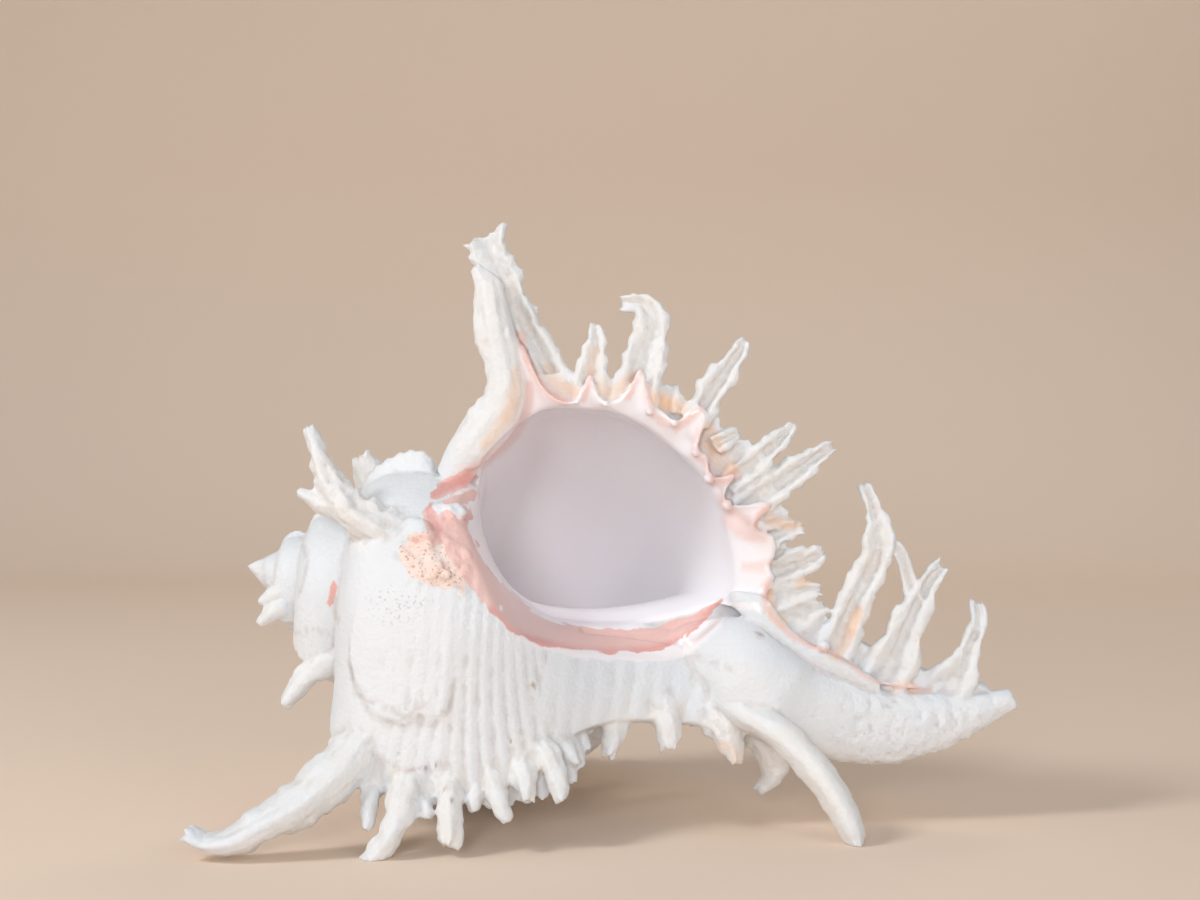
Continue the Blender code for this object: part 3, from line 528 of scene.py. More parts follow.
def whorl_points(turns, place, points, normal):
    """Surface points for every turn and outline position."""
    k = growth(turns)[:, None]
    lift = flange(turns, place) + relief(turns, place, run_length(points))
    along = k * (points[None, :, 0] + lift * normal[None, :, 0])
    out = k * (points[None, :, 1] + lift * normal[None, :, 1])
    past = np.clip(place - 2.0, 0.0, 1.0)[None, :]
    along = along * (1.0 - past) + COLUMELLA_END * past
    column = COLUMELLA_RADIUS * (1.0 - 0.5 * ramp(along, 110.0, COLUMELLA_END))
    newer = np.clip(1.0 + np.asarray(turns, float) / 360.0, 0.0, 1.0)[:, None]
    column = column * (1.0 + 0.35 * newer * (1.0 - past))
    rounded = smooth_max(out, column, 3.0 * k)
    out = np.where(place[None, :] >= 1.0, rounded, out)
    out = out * (1.0 - past) + column * past
    angles = np.broadcast_to(np.asarray(turns, float)[:, None], out.shape)
    return axis_point(along, out, angles)


def turn_rows(step):
    """Turn angles of one revolution, closer together at the varices."""
    rows = {-360.0, -180.0, 0.0}
    for at in [row[0] for row in LAST_TURN_VARICES] + [-360.0]:
        for offset in VARIX_ROWS:
            near = at + offset
            if -360.0 < near < 0.0:
                rows.add(near)
    ordered = sorted(rows)
    filled = []
    for low, high in zip(ordered, ordered[1:]):
        pieces = max(1, int(math.ceil((high - low) / step - 0.3)))
        filled += [low + (high - low) * i / pieces for i in range(pieces)]
    return np.array(filled)


def whorls(band, base, column, step):
    """Closed outer surface of all whorls, spire to columella."""
    one = turn_rows(step)
    count = len(one)
    rows = np.concatenate([one - back for back in OLDER_TURNS[::-1]] + [one, [0.0]])
    rows = rows[rows >= OLDEST_DEG - 0.01]
    last = len(rows) - 1
    first_full = last - count
    place, points, normal = outline_grid(band, base, column)
    grid = whorl_points(rows, place, points, normal)
    width = len(place)
    index = -np.ones((len(rows), width), int)
    verts = []
    for i in range(len(rows)):
        for j in range(width if i >= first_full else band + 1):
            if j == 0 and i >= count:
                index[i, 0] = index[i - count, band]
                continue
            if i == last and j == width - 1:
                index[i, j] = index[first_full, j]
                continue
            index[i, j] = len(verts)
            verts.append(grid[i, j])
    faces = []
    for i in range(last):
        for j in range(width - 1 if i >= first_full else band):
            faces.append((index[i, j], index[i + 1, j], index[i + 1, j + 1], index[i, j + 1]))
    apex = len(verts)
    verts.append(APEX - TIP_AHEAD * AXIS)
    for i in range(count):
        faces.append((apex, index[i + 1, 0], index[i, 0]))
    for j in range(band - 1):
        faces.append((index[count, 0], index[0, j + 1], index[0, j]))
    faces.append((apex, index[0, 0], index[count, 0]))
    foot = len(verts)
    verts.append(APEX + COLUMELLA_END * AXIS)
    ring = [index[i, width - 1] for i in range(first_full, last)]
    for one_end, other in zip(ring, ring[1:] + ring[:1]):
        faces.append((foot, one_end, other))
    outer = [index[last, j] for j in range(width)]
    inner = [index[first_full, j] for j in range(band, width)]
    faces += zipper(verts, outer, inner)
    return verts, faces


def zipper(verts, outer, inner):
    """Triangles between two chains of vertices that share both ends."""
    shares = []
    for chain in (outer, inner):
        along = run_length(np.array([verts[n] for n in chain]))
        shares.append(along / along[-1])
    faces = []
    i = j = 0
    while i < len(outer) - 1 or j < len(inner) - 1:
        next_outer = shares[0][i + 1] if i < len(outer) - 1 else 2.0
        next_inner = shares[1][j + 1] if j < len(inner) - 1 else 2.0
        if next_outer <= next_inner:
            faces.append((outer[i], outer[i + 1], inner[j]))
            i += 1
        else:
            faces.append((outer[i], inner[j + 1], inner[j]))
            j += 1
    return [f for f in faces if len(set(f)) == 3]


def polar(right, down):
    """Angle in degrees and distance of view positions about the flare's centre."""
    across = right - FLARE_CENTRE[0]
    below = down - FLARE_CENTRE[1]
    return np.degrees(np.arctan2(below, across)), np.hypot(across, below)


def on_flare(far, angle):
    """View position at a distance and an angle in degrees about the flare's centre."""
    angle = np.radians(angle)
    return FLARE_CENTRE[0] + far * np.cos(angle), FLARE_CENTRE[1] + far * np.sin(angle)


def around(angles, known_angles, values):
    """Values read round a closed outline that is given at known angles."""
    order = np.argsort(known_angles)
    a = known_angles[order]
    v = values[order]
    a = np.concatenate([a[-3:] - 360.0, a, a[:3] + 360.0])
    v = np.concatenate([v[-3:], v, v[:3]])
    return np.interp(angles, a, v)


def mouth_radius(angles):
    """View distance of the inner edge of the mouth at these angles."""
    edge = np.array(INNER_EDGE, float)
    fine = spline(np.vstack([edge, edge[:1]]), 600)
    return around(angles, *polar(fine[:, 0], fine[:, 1]))


def flare_edge(angles):
    """View distance and depth of the flared edge at these angles."""
    edge = np.array(FLARE_EDGE, float)
    a, r = polar(edge[:, 0], edge[:, 1])
    return around(angles, a, r), around(angles, a, edge[:, 2])


def flare_bounds(angles):
    """Distances of the mouth's inner edge and the flared edge, and its depth."""
    inner = mouth_radius(angles)
    outer, depth = flare_edge(angles)
    return inner, np.maximum(outer, inner + LEAST_FLARE), depth


def on_lip_plane(right, down):
    """Axis distance and radius where view rays meet the plane of the lip."""
    way = view_point(right, down, np.zeros(len(right))) - EYE
    out = radial(0.0)
    normal = np.cross(AXIS, out)
    share = ((APEX - EYE) @ normal) / (way @ normal)
    points = EYE + way * share[:, None] - APEX
    return points @ AXIS, points @ out


def hollow_rings(spokes, step):
    """Rings of the mouth's cutter, from deep inside to in front of the flared edge."""
    angles = np.linspace(-180.0, 180.0, spokes, endpoint=False)
    inner, outer, edge_depth = flare_bounds(angles)
    outline = together(*on_lip_plane(*on_flare(inner, angles)))
    outward = unit(outline - MOUTH_CENTRE)
    rings = []
    turns = np.linspace(HOLLOW_OLDEST_DEG, 0.0, int(-HOLLOW_OLDEST_DEG / step) + 1)
    for turn in turns:
        shrink = DEEP_SHRINK * float(ramp(-turn, 0.0, 45.0))
        ring = float(growth(turn)) * (outline - shrink * outward)
        rings.append(axis_point(ring[:, 0], ring[:, 1], np.full(spokes, turn)))
    start = rings[-1][:, 1]
    turned = np.abs((angles - NOTCH_ANGLE + 180.0) % 360.0 - 180.0)
    roll = FLARE_ROLL + (NOTCH_ROLL - FLARE_ROLL) * (1.0 - ramp(turned, *NOTCH_HALF_DEG))
    for n in range(1, FLARE_STEPS + 1):
        share = n / FLARE_STEPS
        r = inner + (outer - inner) * share ** roll
        rings.append(view_point(*on_flare(r, angles), start + (edge_depth - start) * share))
    for push, depth in ((1.0, edge_depth - 3.0), (3.0, FLARE_FRONT)):
        rings.append(view_point(*on_flare(outer + push, angles), depth))
    return rings


def lining_rings():
    """Sections of the smooth porcelain bed behind the flared outer lip."""
    angles = np.arange(LINING_ANGLES[0], LINING_ANGLES[1], 0.5)
    inner, outer, edge_depth = flare_bounds(angles)
    start = axis_point(*on_lip_plane(*on_flare(inner, angles)), np.zeros(len(angles)))[:, 1]
    share = np.linspace(0.12, 1.0, 12)
    rings = []
    for n, angle in enumerate(angles):
        r = inner[n] + (outer[n] - inner[n]) * share ** FLARE_ROLL
        depth = start[n] + (edge_depth[n] - start[n]) * share - 0.15
        spot = on_flare(r, angle)
        front = view_point(*spot, depth)
        back = view_point(*spot, depth + LINING_THICK * (0.35 + 0.65 * (1.0 - share ** 3)))
        rings.append(np.vstack([front, back[::-1]]))
    return rings


def tube(rings):
    """Closed mesh through rings of equal length, flat at both ends."""
    size = len(rings[0])
    verts = np.concatenate([np.asarray(r) for r in rings])
    count = len(rings)
    n, i = np.meshgrid(np.arange(count - 1), np.arange(size), indexing="ij")
    a = (n * size + i).ravel()
    b = (n * size + (i + 1) % size).ravel()
    faces = np.stack([a, b, b + size, a + size], axis=1).tolist()
    hubs = np.array([np.mean(rings[0], axis=0), np.mean(rings[-1], axis=0)])
    for end, first in ((0, 0), (1, (count - 1) * size)):
        hub = len(verts) + end
        for j in range(size):
            a = first + j
            b = first + (j + 1) % size
            faces.append([hub, a, b] if end else [hub, b, a])
    return np.vstack([verts, hubs]), faces


def section_points(count):
    """Smooth closed gutter section and its outward normals."""
    closed = GUTTER[-2:] + GUTTER + GUTTER[:3]
    fine = spline(closed, 60 * len(closed))
    first = int(np.argmin(np.linalg.norm(fine[: len(fine) // 2] - GUTTER[0], axis=1)))
    half = len(fine) // 2
    again = half + int(np.argmin(np.linalg.norm(fine[half:] - GUTTER[0], axis=1)))
    loop = fine[first : again + 1]
    steps = np.linalg.norm(np.diff(loop, axis=0) * [1.0, 0.5], axis=1)
    along = np.concatenate([[0.0], np.cumsum(steps)])
    wanted = np.linspace(0.0, along[-1], count, endpoint=False)
    ring = np.stack([np.interp(wanted, along, c) for c in loop.T], axis=1)
    slope = np.roll(ring, -1, axis=0) - np.roll(ring, 1, axis=0)
    normal = unit(together(-slope[:, 1], slope[:, 0]))
    if (normal * ring).sum() < 0:
        normal = -normal
    return ring, normal


SECTION, SECTION_NORMAL = section_points(44)


def frond_rings(centres, widths, facing, thick, crinkle, number):
    """Rings of a leafy frond: folds, stepped side lobes and a lobed blunt end."""
    path = np.hstack([centres, widths[:, None]])
    length = run_length(path[:, :3])[-1]
    path = spline(path, max(16, int(length / 0.5)))
    centres = path[:, :3]
    widest = path[:, 3].max()
    share = np.linspace(0.0, 1.0, len(centres))
    blunt = (0.20 + 0.16 * crinkle) * widest * ramp(share, 0.3, 0.8)
    widths = np.maximum(path[:, 3], np.maximum(blunt, 1.0))
    tangent = unit(np.gradient(centres, axis=0))
    x = SECTION[:, 0]
    side = np.sign(x)
    rings = []
    for u, point, way, width in zip(share, centres, tangent, widths):
        across = unit(np.cross(way, facing))
        front = np.cross(across, way)
        depth = thick * (0.35 + 0.65 * (width / widest) ** 0.7)
        grown = float(ramp(u, 0.08, 0.30))
        run = u * length / (2.5 + widest)
        seen = together(run, x * width / FOLD_PITCH, 7.0 * number)
        fine = together(u * length / FOLD_PITCH, x * width, 3.0 * number)
        steps = u * length / LOBE_PITCH + 0.31 * side + 0.17 * number + 1.1 * noise(seen, 2.4, 51)
        lobe = (steps - np.floor(steps)) ** 1.3
        margin = np.abs(x) ** 2.2
        torn = together(u * length / TEAR_PITCH + side, 9.0 * number, 0.0)
        ragged = 0.30 * lobe - 0.12 + 0.30 * noise(torn, 1.0, 54)
        ragged = ragged * min(1.0, 9.0 / widest)
        reach = 1.0 + (0.12 + 0.88 * crinkle) * grown * margin * ragged
        ridge = 1.0 - 2.0 * np.abs(noise(seen, 1.0, 52))
        fold = (0.05 * width + 0.24) * (0.3 + 0.7 * crinkle) * ridge * (0.35 + 0.65 * grown)
        fold = fold + 0.26 * (0.25 + 0.75 * crinkle) * grown * noise(fine, 1.0, 53)
        fold = fold * (1.0 - 0.4 * float(ramp(u, 0.85, 1.0)))
        fan = float(ramp(u, FAN_START, 1.0))
        notch = 0.5 + 0.5 * np.cos(2.0 * np.pi * TIP_NOTCHES * x + 4.08 * number)
        ahead = fan * (0.3 + 0.7 * crinkle) * (0.30 * widest * (notch - 0.35)) * min(1.0, width / 4.0)
        px = x * 0.5 * width * reach + fold * SECTION_NORMAL[:, 0] * 0.5
        py = SECTION[:, 1] * depth + fold * SECTION_NORMAL[:, 1]
        rings.append(point + px[:, None] * across + py[:, None] * front + ahead[:, None] * way)
    return rings


def back_frond(place, tall, width, lean, droop):
    """A frond of the back varix, curving down towards the floor."""
    grid_place, points, normal = outline_grid(20, 40, 1)
    at = int(np.argmin(np.abs(grid_place - place)))
    k = float(growth(BACK_VARIX_DEG))
    lift = float(flange(np.array([BACK_VARIX_DEG]), grid_place[at : at + 1])[0, 0])
    out_way = radial(BACK_VARIX_DEG)
    root = APEX + k * (points[at, 0] + lift * normal[at, 0]) * AXIS
    root = root + k * (points[at, 1] + lift * normal[at, 1]) * out_way
    growing = radial(BACK_VARIX_DEG + 90.0)
    stations = [root - 9.0 * out_way, root - 1.0 * out_way]
    way = normal[at, 0] * AXIS + normal[at, 1] * out_way + lean * AXIS
    for _ in range(4):
        way = unit(unit(way) + np.array([0.0, 0.0, -0.55 * droop]))
        stations.append(stations[-1] + way * tall / 4.0)
    widths = width * np.array([1.5, 1.2, 0.95, 0.75, 0.52, 0.28])
    return np.array(stations) - 1.5 * growing, widths, -growing, 0.3 * width + 1.4, 0.8


def set_out_fronds():
    """Centre points, widths, facing, thickness and crinkle of every frond."""
    found = []
    for facing, thick, crinkle, stations in LIP_FRONDS + FRONT_VARIX_FRONDS + SPIRE_FRONDS:
        rows = np.array(stations, float)
        if stations in LOW_FRONDS:
            above = rows[0] + LOW_ROOT
            above[0] -= 0.5 * (rows[1, 0] - rows[0, 0])
            rows[0, 2] += LOW_SINK
            rows = np.vstack([above, rows])
        centres = view_point(rows[:, 0], rows[:, 1], rows[:, 2])
        widths = rows[:, 3] * (rows[:, 2] - EYE[1]) / VIEW_SCALE
        found.append((centres, widths, facing, thick, crinkle))
    spine = np.array(BACK_SPINE, float)
    found.append((spine[:, :3], spine[:, 3], np.array([0.9, 0.0, -0.4]), 6.0, 0.4))
    for row in BACK_FRONDS:
        found.append(back_frond(*row))
    return found


def plate_rings(stations, rib_pitch, rib_height):
    """Rings of a ribbed plate seen from the front, given by its top and bottom edges."""
    rows = spline(stations, 160)
    rings = []
    for right, top, top_depth, bottom, bottom_depth, thick in rows:
        high = view_point(right, top, top_depth)
        low = view_point(right, bottom, bottom_depth)
        face = unit(np.cross(low - high, (1.0, 0.0, 0.0)))
        face = face if face[1] < 0 else -face
        ring = []
        for share in np.linspace(0.0, 1.0, 25):
            crown = 1.0 - (2.0 * share - 1.0) ** 2
            lift = (0.3 - 0.2 * share + 0.18 * crown) * thick
            lean = right + 14.0 * (share - 0.3)
            wave = 0.5 + 0.5 * math.cos(2 * math.pi * lean / rib_pitch)
            lift += rib_height * (0.25 + 0.75 * share) * (wave ** 0.8 - 0.5)
            ring.append(high + (low - high) * share + lift * face)
        for share in np.linspace(1.0, 0.0, 13):
            crown = 1.0 - (2.0 * share - 1.0) ** 2
            lift = -(0.7 - 0.45 * share + 0.12 * crown) * thick
            ring.append(high + (low - high) * share + lift * face)
        rings.append(np.array(ring))
    return rings


def canal_rings():
    """Rings of the siphonal canal, rounder below than above."""
    rings = []
    rows = spline(CANAL, 170)
    centres = view_point(rows[:, 0], rows[:, 1], rows[:, 2])
    tangent = unit(np.gradient(centres, axis=0))
    angles = 2 * math.pi * (np.arange(64) + 0.5) / 64
    c = np.cos(angles)
    s = np.sin(angles)
    for point, way, station in zip(centres, tangent, rows):
        high = unit(np.cross(BACKWARD, way))
        high = high if high[2] > 0 else -high
        y = np.copysign(np.abs(c) ** 0.8, c) * station[4] / 2
        z = np.copysign(np.abs(s) ** 0.9, s) * station[3] / 2
        rings.append(point + y[:, None] * FORWARD + z[:, None] * high)
    return rings


def slit_rings():
    """Rings of the narrow cutter that opens the canal along its length."""
    rings = []
    rows = spline(CANAL_SLIT, 90)
    points = view_point(rows[:, 0], rows[:, 1], rows[:, 2])
    for point, way in zip(points, np.gradient(points, axis=0)):
        half = unit(np.cross(BACKWARD, way)) * SLIT_WIDTH / 2
        back = point + BACKWARD * SLIT_DEPTH
        front = point + FORWARD * SLIT_REACH
        rings.append(np.array([back - half, front - half * 1.6, front + half * 1.6, back + half]))
    return rings


def bead_rings(points, radius):
    """Rings of a thin round bead along a path, tapered at both ends."""
    path = spline(points, max(30, 4 * len(points)))
    angles = np.linspace(0.0, 2 * math.pi, 10, endpoint=False)[:, None]
    rings = []
    for n, (point, way) in enumerate(zip(path, unit(np.gradient(path, axis=0)))):
        across = unit(np.cross(way, FORWARD))
        front = np.cross(across, way)
        ends = min(n, len(path) - 1 - n) / 6.0
        r = radius * min(1.0, 0.25 + ends)
        rings.append(point + r * (np.cos(angles) * across + np.sin(angles) * front))
    return rings


def ball_rings(centre, radius):
    """Rings of a round knob."""
    t = np.linspace(0.0, 2 * math.pi, 14, endpoint=False)
    rings = []
    for tilt in np.linspace(0.25, math.pi - 0.25, 9):
        r = radius * math.sin(tilt)
        rings.append(centre + together(r * np.cos(t), r * np.sin(t), radius * math.cos(tilt)))
    return rings


def mesh_object(name, verts, faces):
    """A mesh object with outward faces, in the final frame and in millimetres."""
    mesh = bpy.data.meshes.new(name)
    moved = np.asarray(verts, float) - FRAME_CENTRE
    mesh.from_pydata(moved.tolist(), [], [tuple(int(i) for i in f) for f in faces])
    work = bmesh.new()
    work.from_mesh(mesh)
    bmesh.ops.triangulate(work, faces=work.faces[:])
    bmesh.ops.recalc_face_normals(work, faces=work.faces[:])
    if work.calc_volume(signed=True) < 0:
        bmesh.ops.reverse_faces(work, faces=work.faces[:])
    work.to_mesh(mesh)
    work.free()
    obj = bpy.data.objects.new(name, mesh)
    bpy.context.scene.collection.objects.link(obj)
    return obj


def ground_block():
    """A box that fills the space below the floor."""
    rings = []
    for z in (-GROUND_DEPTH, 0.0):
        corners = [(-GROUND_HALF, -GROUND_HALF, z), (GROUND_HALF, -GROUND_HALF, z),
                   (GROUND_HALF, GROUND_HALF, z), (-GROUND_HALF, GROUND_HALF, z)]
        rings.append(np.array(corners) + FRAME_CENTRE)
    return mesh_object("ground", *tube(rings))


def cut(targets, cutter):
    """Cuts one object out of others, and removes it."""
    for target in targets:
        modifier = target.modifiers.new("cut", "BOOLEAN")
        modifier.operation = "DIFFERENCE"
        modifier.solver = "MANIFOLD"
        modifier.object = cutter
        bake(target)
    bpy.data.objects.remove(cutter)


def bake(obj):
    """Applies the object's modifiers."""
    graph = bpy.context.evaluated_depsgraph_get()
    made = bpy.data.meshes.new_from_object(obj.evaluated_get(graph))
    obj.modifiers.clear()
    old = obj.data
    obj.data = made
    bpy.data.meshes.remove(old)


def coordinates(mesh):
    co = np.empty(len(mesh.vertices) * 3, np.float32)
    mesh.vertices.foreach_get("co", co)
    return co.reshape(-1, 3).astype(float)


def move_to(mesh, points):
    mesh.vertices.foreach_set("co", points.astype(np.float32).ravel())
    mesh.update()


def normals(mesh):
    found = np.empty(len(mesh.vertices) * 3, np.float32)
    mesh.vertex_normals.foreach_get("vector", found)
    return found.reshape(-1, 3).astype(float)


def edges_of(mesh):
    ends = np.empty(len(mesh.edges) * 2, np.int32)
    mesh.edges.foreach_get("vertices", ends)
    return ends.reshape(-1, 2)


def smooth(points, ends, rounds, amount):
    """Evens out points along the edges; amount may differ from point to point."""
    degree = np.bincount(ends.ravel(), minlength=len(points)).astype(float)[:, None]
    degree[degree == 0] = 1.0
    for _ in range(rounds):
        mean = np.zeros_like(points)
        for axis in range(3):
            mean[:, axis] = np.bincount(ends[:, 0], points[ends[:, 1], axis], len(points))
            mean[:, axis] += np.bincount(ends[:, 1], points[ends[:, 0], axis], len(points))
        points = points + amount * (mean / degree - points)
    return points


def solid(name, rings):
    return mesh_object(name, *tube(rings))


def join_up(fronds):
    """All outer parts with the mouth and the slit cut out of them, as one object."""
    shell = mesh_object("shell_fine", *whorls(*WHORL_DETAIL))
    canal = solid("canal", canal_rings())
    old_canal = solid("old_canal", plate_rings(OLD_CANAL, *OLD_CANAL_RIBS))
    web = solid("lip_web", plate_rings(LIP_WEB, *LIP_WEB_RIBS))
    foot = solid("flare_foot", plate_rings(FLARE_FOOT, *NO_RIBS))
    leaves = [solid(f"frond_{n}", frond_rings(*f, n)) for n, f in enumerate(fronds)]
    hollow = solid("hollow", hollow_rings(HOLLOW_SPOKES, HOLLOW_STEP_DEG))
    tree = BVHTree.FromPolygons([v.co for v in hollow.data.vertices],
                                [tuple(p.vertices) for p in hollow.data.polygons])
    cut([shell, canal, old_canal, web] + leaves[: len(LIP_FRONDS)], hollow)
    cut([shell, canal, web], solid("slit", slit_rings()))
    parts = [canal, old_canal, web, foot, solid("lining", lining_rings())] + leaves
    edge = np.array(FLARE_EDGE[:RIM_COUNT] + RIM_TAIL, float)
    rim = view_point(edge[:, 0], edge[:, 1], edge[:, 2] + 1.0)
    parts.append(solid("rim", bead_rings(rim, RIM_RADIUS)))
    knobs = [(right, down, KNOB_DEPTH, radius) for right, down, radius in KNOBS_OF_RIM]
    for right, down, depth, radius in knobs + list(GRAINS):
        parts.append(solid("knob", ball_rings(view_point(right, down, depth), radius)))
    joined = bmesh.new()
    for part in [shell] + parts:
        joined.from_mesh(part.data)
    joined.to_mesh(shell.data)
    joined.free()
    for part in parts:
        bpy.data.objects.remove(part)
    return shell, tree


def keep_largest(mesh):
    """Removes the loose crumbs that the even skin leaves beside the shell."""
    first, second = edges_of(mesh).T
    label = np.arange(len(mesh.vertices))
    while True:
        low = np.minimum(label[first], label[second])
        joined = label.copy()
        for end in (first, second, label[first], label[second]):
            np.minimum.at(joined, end, low)
        joined = joined[joined]
        if (joined == label).all():
            break
        label = joined
    loose = np.flatnonzero(label != np.bincount(label).argmax())
    if len(loose) == 0:
        return
    body = bmesh.new()
    body.from_mesh(mesh)
    body.verts.ensure_lookup_table()
    bmesh.ops.delete(body, geom=[body.verts[n] for n in loose], context="VERTS")
    body.to_mesh(mesh)
    body.free()


def remesh(obj):
    """One even skin over the joined body."""
    modifier = obj.modifiers.new("skin", "REMESH")
    modifier.mode = "VOXEL"
    modifier.voxel_size = VOXEL
    modifier.use_smooth_shade = True
    bake(obj)
    keep_largest(obj.data)
    cut([obj], ground_block())


def nearest_share(points, tree, near, far):
    """1 for points closer to the surface than near, falling to 0 at far."""
    found = np.full(len(points), far)
    for n, p in enumerate(points):
        gap = tree.find_nearest(p, far)[3]
        if gap is not None:
            found[n] = gap
    return 1.0 - ramp(found, near, far)


def frond_share(points, fronds):
    """How far each point belongs to a frond, with the frond's crinkle."""
    samples = []
    for centres, widths, _, _, crinkle in fronds:
        path = spline(np.hstack([centres, widths[:, None]]), FROND_SAMPLES)
        for share, row in zip(np.linspace(0.0, 1.0, FROND_SAMPLES), path):
            samples.append((*(row[:3] - FRAME_CENTRE), max(row[3], 2.0), crinkle, share))
    tree = kdtree.KDTree(len(samples))
    for n, sample in enumerate(samples):
        tree.insert(sample[:3], n)
    tree.balance()
    reach, crinkles, shares = np.array(samples)[:, 3:].T
    which = np.empty(len(points), int)
    far = np.empty(len(points))
    for n, p in enumerate(points):
        _, which[n], far[n] = tree.find(p)
    near = 1.0 - ramp(far / reach[which], 0.45, 0.85)
    return near * ramp(shares[which], 0.0, 0.3), crinkles[which]


def strokes(right, down, lines):
    """Strength of soft painted strokes at view positions."""
    total = np.zeros(len(right))
    for width, strength, points in lines:
        far = distance(right, down, points)
        total = np.maximum(total, strength * (1.0 - ramp(far, 0.35 * width, width)))
    return total


def distance(right, down, points):
    """View distance from a smooth line; a third value widens the line there."""
    spots = np.stack([right, down], axis=1)
    rows = np.array(points, float)
    if rows.shape[1] == 2:
        rows = np.hstack([rows, np.zeros((len(rows), 1))])
    path = spline(rows, 12 * len(rows)) if len(rows) > 2 else rows
    best = np.full(len(right), 1e9)
    for a, b in zip(path, path[1:]):
        way = (b - a)[:2]
        share = np.clip(((spots - a[:2]) @ way) / max(way @ way, 1e-9), 0.0, 1.0)
        gap = np.linalg.norm(spots - a[:2] - share[:, None] * way, axis=1)
        best = np.minimum(best, gap - (a[2] + share * (b[2] - a[2])))
    return best


def field(right, down, lines, soft):
    """0.5 on the edge of the painted area, 1 well inside it and 0 well outside."""
    total = np.zeros(len(right))
    for points in lines:
        total = np.maximum(total, np.clip(0.5 - distance(right, down, points) / soft, 0.0, 1.0))
    return total


# Fine lumps of each kind of surface: height, size and noise seed
FROND_LUMPS = ((0.42, 2.6, 31), (0.26, 1.25, 32))
CHALK_LUMPS = ((0.05, 1.1, 33), (0.10, 3.2, 34))
CALLUS_LUMPS = ((0.5, 2.0, 35), (0.35, 1.0, 36))
CANAL_LUMPS = ((0.34, 2.1, 37), (0.26, 1.2, 38))
CALLUS_RISE = 0.3

# Where the canal turns rough, in X and down the front view
CANAL_ROUGH_X = (38.0, 66.0)
CANAL_TOP = (640.0, 655.0)
CANAL_LOW = (690.0, 702.0)

# Across the front view, where the porcelain turns from pinker to bluer
PORCELAIN_TURN = (490.0, 700.0)

# Distances from the mouth's cutter where porcelain turns to chalk, and on the thinned mesh
LINED = (0.7, 1.2)
LINED_THIN = (0.6, 1.1)

# Painted areas in the front view, as lines with a half width at each point
AREA_SOFT = 16.0
BARE_SOFT = 8.0
PINK_BANDS = (
    ((447, 517, 9), (456, 538, 13), (468, 558, 15), (484, 580, 15), (498, 600, 15), (516, 616, 15),
        (545, 632, 13), (585, 640, 12), (625, 641, 12), (660, 637, 12), (690, 625, 8), (710, 610, 4.5),
        (722, 599, 2.5)),
    ((431, 497, 3), (446, 487, 7), (462, 480, 8), (472, 475, 5)),
    ((444, 503, 2), (460, 499, 4.5), (476, 494, 5)),
    ((430, 507, 3), (431, 520, 8), (442, 533, 9), (456, 530, 8), (468, 516, 5)),
    ((416, 540, 4), (424, 536, 4), (434, 540, 4)),
    ((334, 584, 1.5), (332, 597, 2.5), (330, 610, 2)),
)

# Painted strokes in the front view: half width, strength, then the line
DEEP_PINK = (
    (7, 0.9, ((333, 585), (331, 598), (329, 610))),
    (9, 1, ((520, 638), (560, 650), (600, 655), (640, 653), (675, 645), (700, 630), (718, 606))),
    (9, 0.8, ((492, 612), (504, 628), (522, 640))),
    (8, 1, ((434, 494), (448, 486), (468, 477))),
    (6, 0.7, ((428, 506), (433, 520), (440, 530))),
    (8, 0.6, ((470, 520), (482, 545), (494, 570))),
)

# More painted areas
BARE_SPOTS = (
    ((480, 549, 3), (488, 560, 4.5), (496, 572, 4.5), (503, 582, 2)),
    ((480, 612, 2), (484, 606, 3)),
    ((441, 566, 3), (446, 573, 4)),
    ((500, 603, 1), (502, 609, 1.5)),
)
CALLUS_AREA = (
    ((418, 545, 13), (436, 550, 20), (456, 562, 17)), ((420, 566, 14), (440, 576, 12), (458, 580, 8)),
    ((402, 548, 5), (410, 562, 7)), ((462, 585, 4), (462, 592, 4)),
)

# More painted strokes
LIP_BLUSH = (
    (7, 0.8, ((470, 471), (490, 458), (510, 441), (523, 420), (529, 400), (529, 384))),
    (6, 1, ((521, 335), (524, 352), (531, 367), (541, 383), (553, 396), (566, 402))),
    (5, 0.8, ((584, 400), (587, 386), (591, 374))),
    (5, 0.8, ((628, 398), (640, 372))),
    (6, 0.6, ((647, 385), (650, 408), (660, 420), (668, 424))),
    (6, 0.8, ((676, 428), (690, 418), (702, 408))),
    (8, 0.6, ((700, 432), (697, 452), (706, 462), (712, 478))),
    (9, 0.8, ((714, 482), (726, 478), (734, 474))),
    (9, 0.7, ((722, 500), (734, 514), (752, 524))),
    (12, 0.65, ((730, 520), (745, 532), (762, 536))),
    (4.5, 1, ((768, 506), (757, 518), (755, 530))),
    (5, 0.6, ((745, 566), (760, 566), (772, 562))),
    (4.5, 0.9, ((770, 580), (766, 590), (766, 606), (775, 620), (790, 634), (812, 646), (830, 652))),
    (3, 0.8, ((830, 652), (850, 664), (872, 680), (900, 687), (930, 690))),
)
WARM_STAINS = (
    (11, 0.7, ((520, 372), (515, 395), (506, 420), (488, 445))),
    (10, 0.8, ((548, 372), (560, 386), (574, 392))),
    (7, 0.7, ((594, 352), (592, 372))),
    (12, 0.7, ((600, 388), (616, 392), (632, 380))),
    (12, 0.9, ((656, 398), (668, 404), (682, 408))),
    (12, 0.9, ((706, 430), (714, 446), (720, 462), (730, 468))),
    (8, 0.8, ((770, 520), (786, 524), (800, 522))),
    (7, 0.8, ((768, 592), (772, 612), (784, 624))),
    (7, 0.7, ((800, 583), (812, 578))),
    (9, 0.8, ((836, 655), (846, 640), (858, 612))),
    (8, 0.6, ((895, 690), (905, 684), (914, 690))),
    (8, 0.6, ((722, 745), (732, 752), (738, 760))),
)
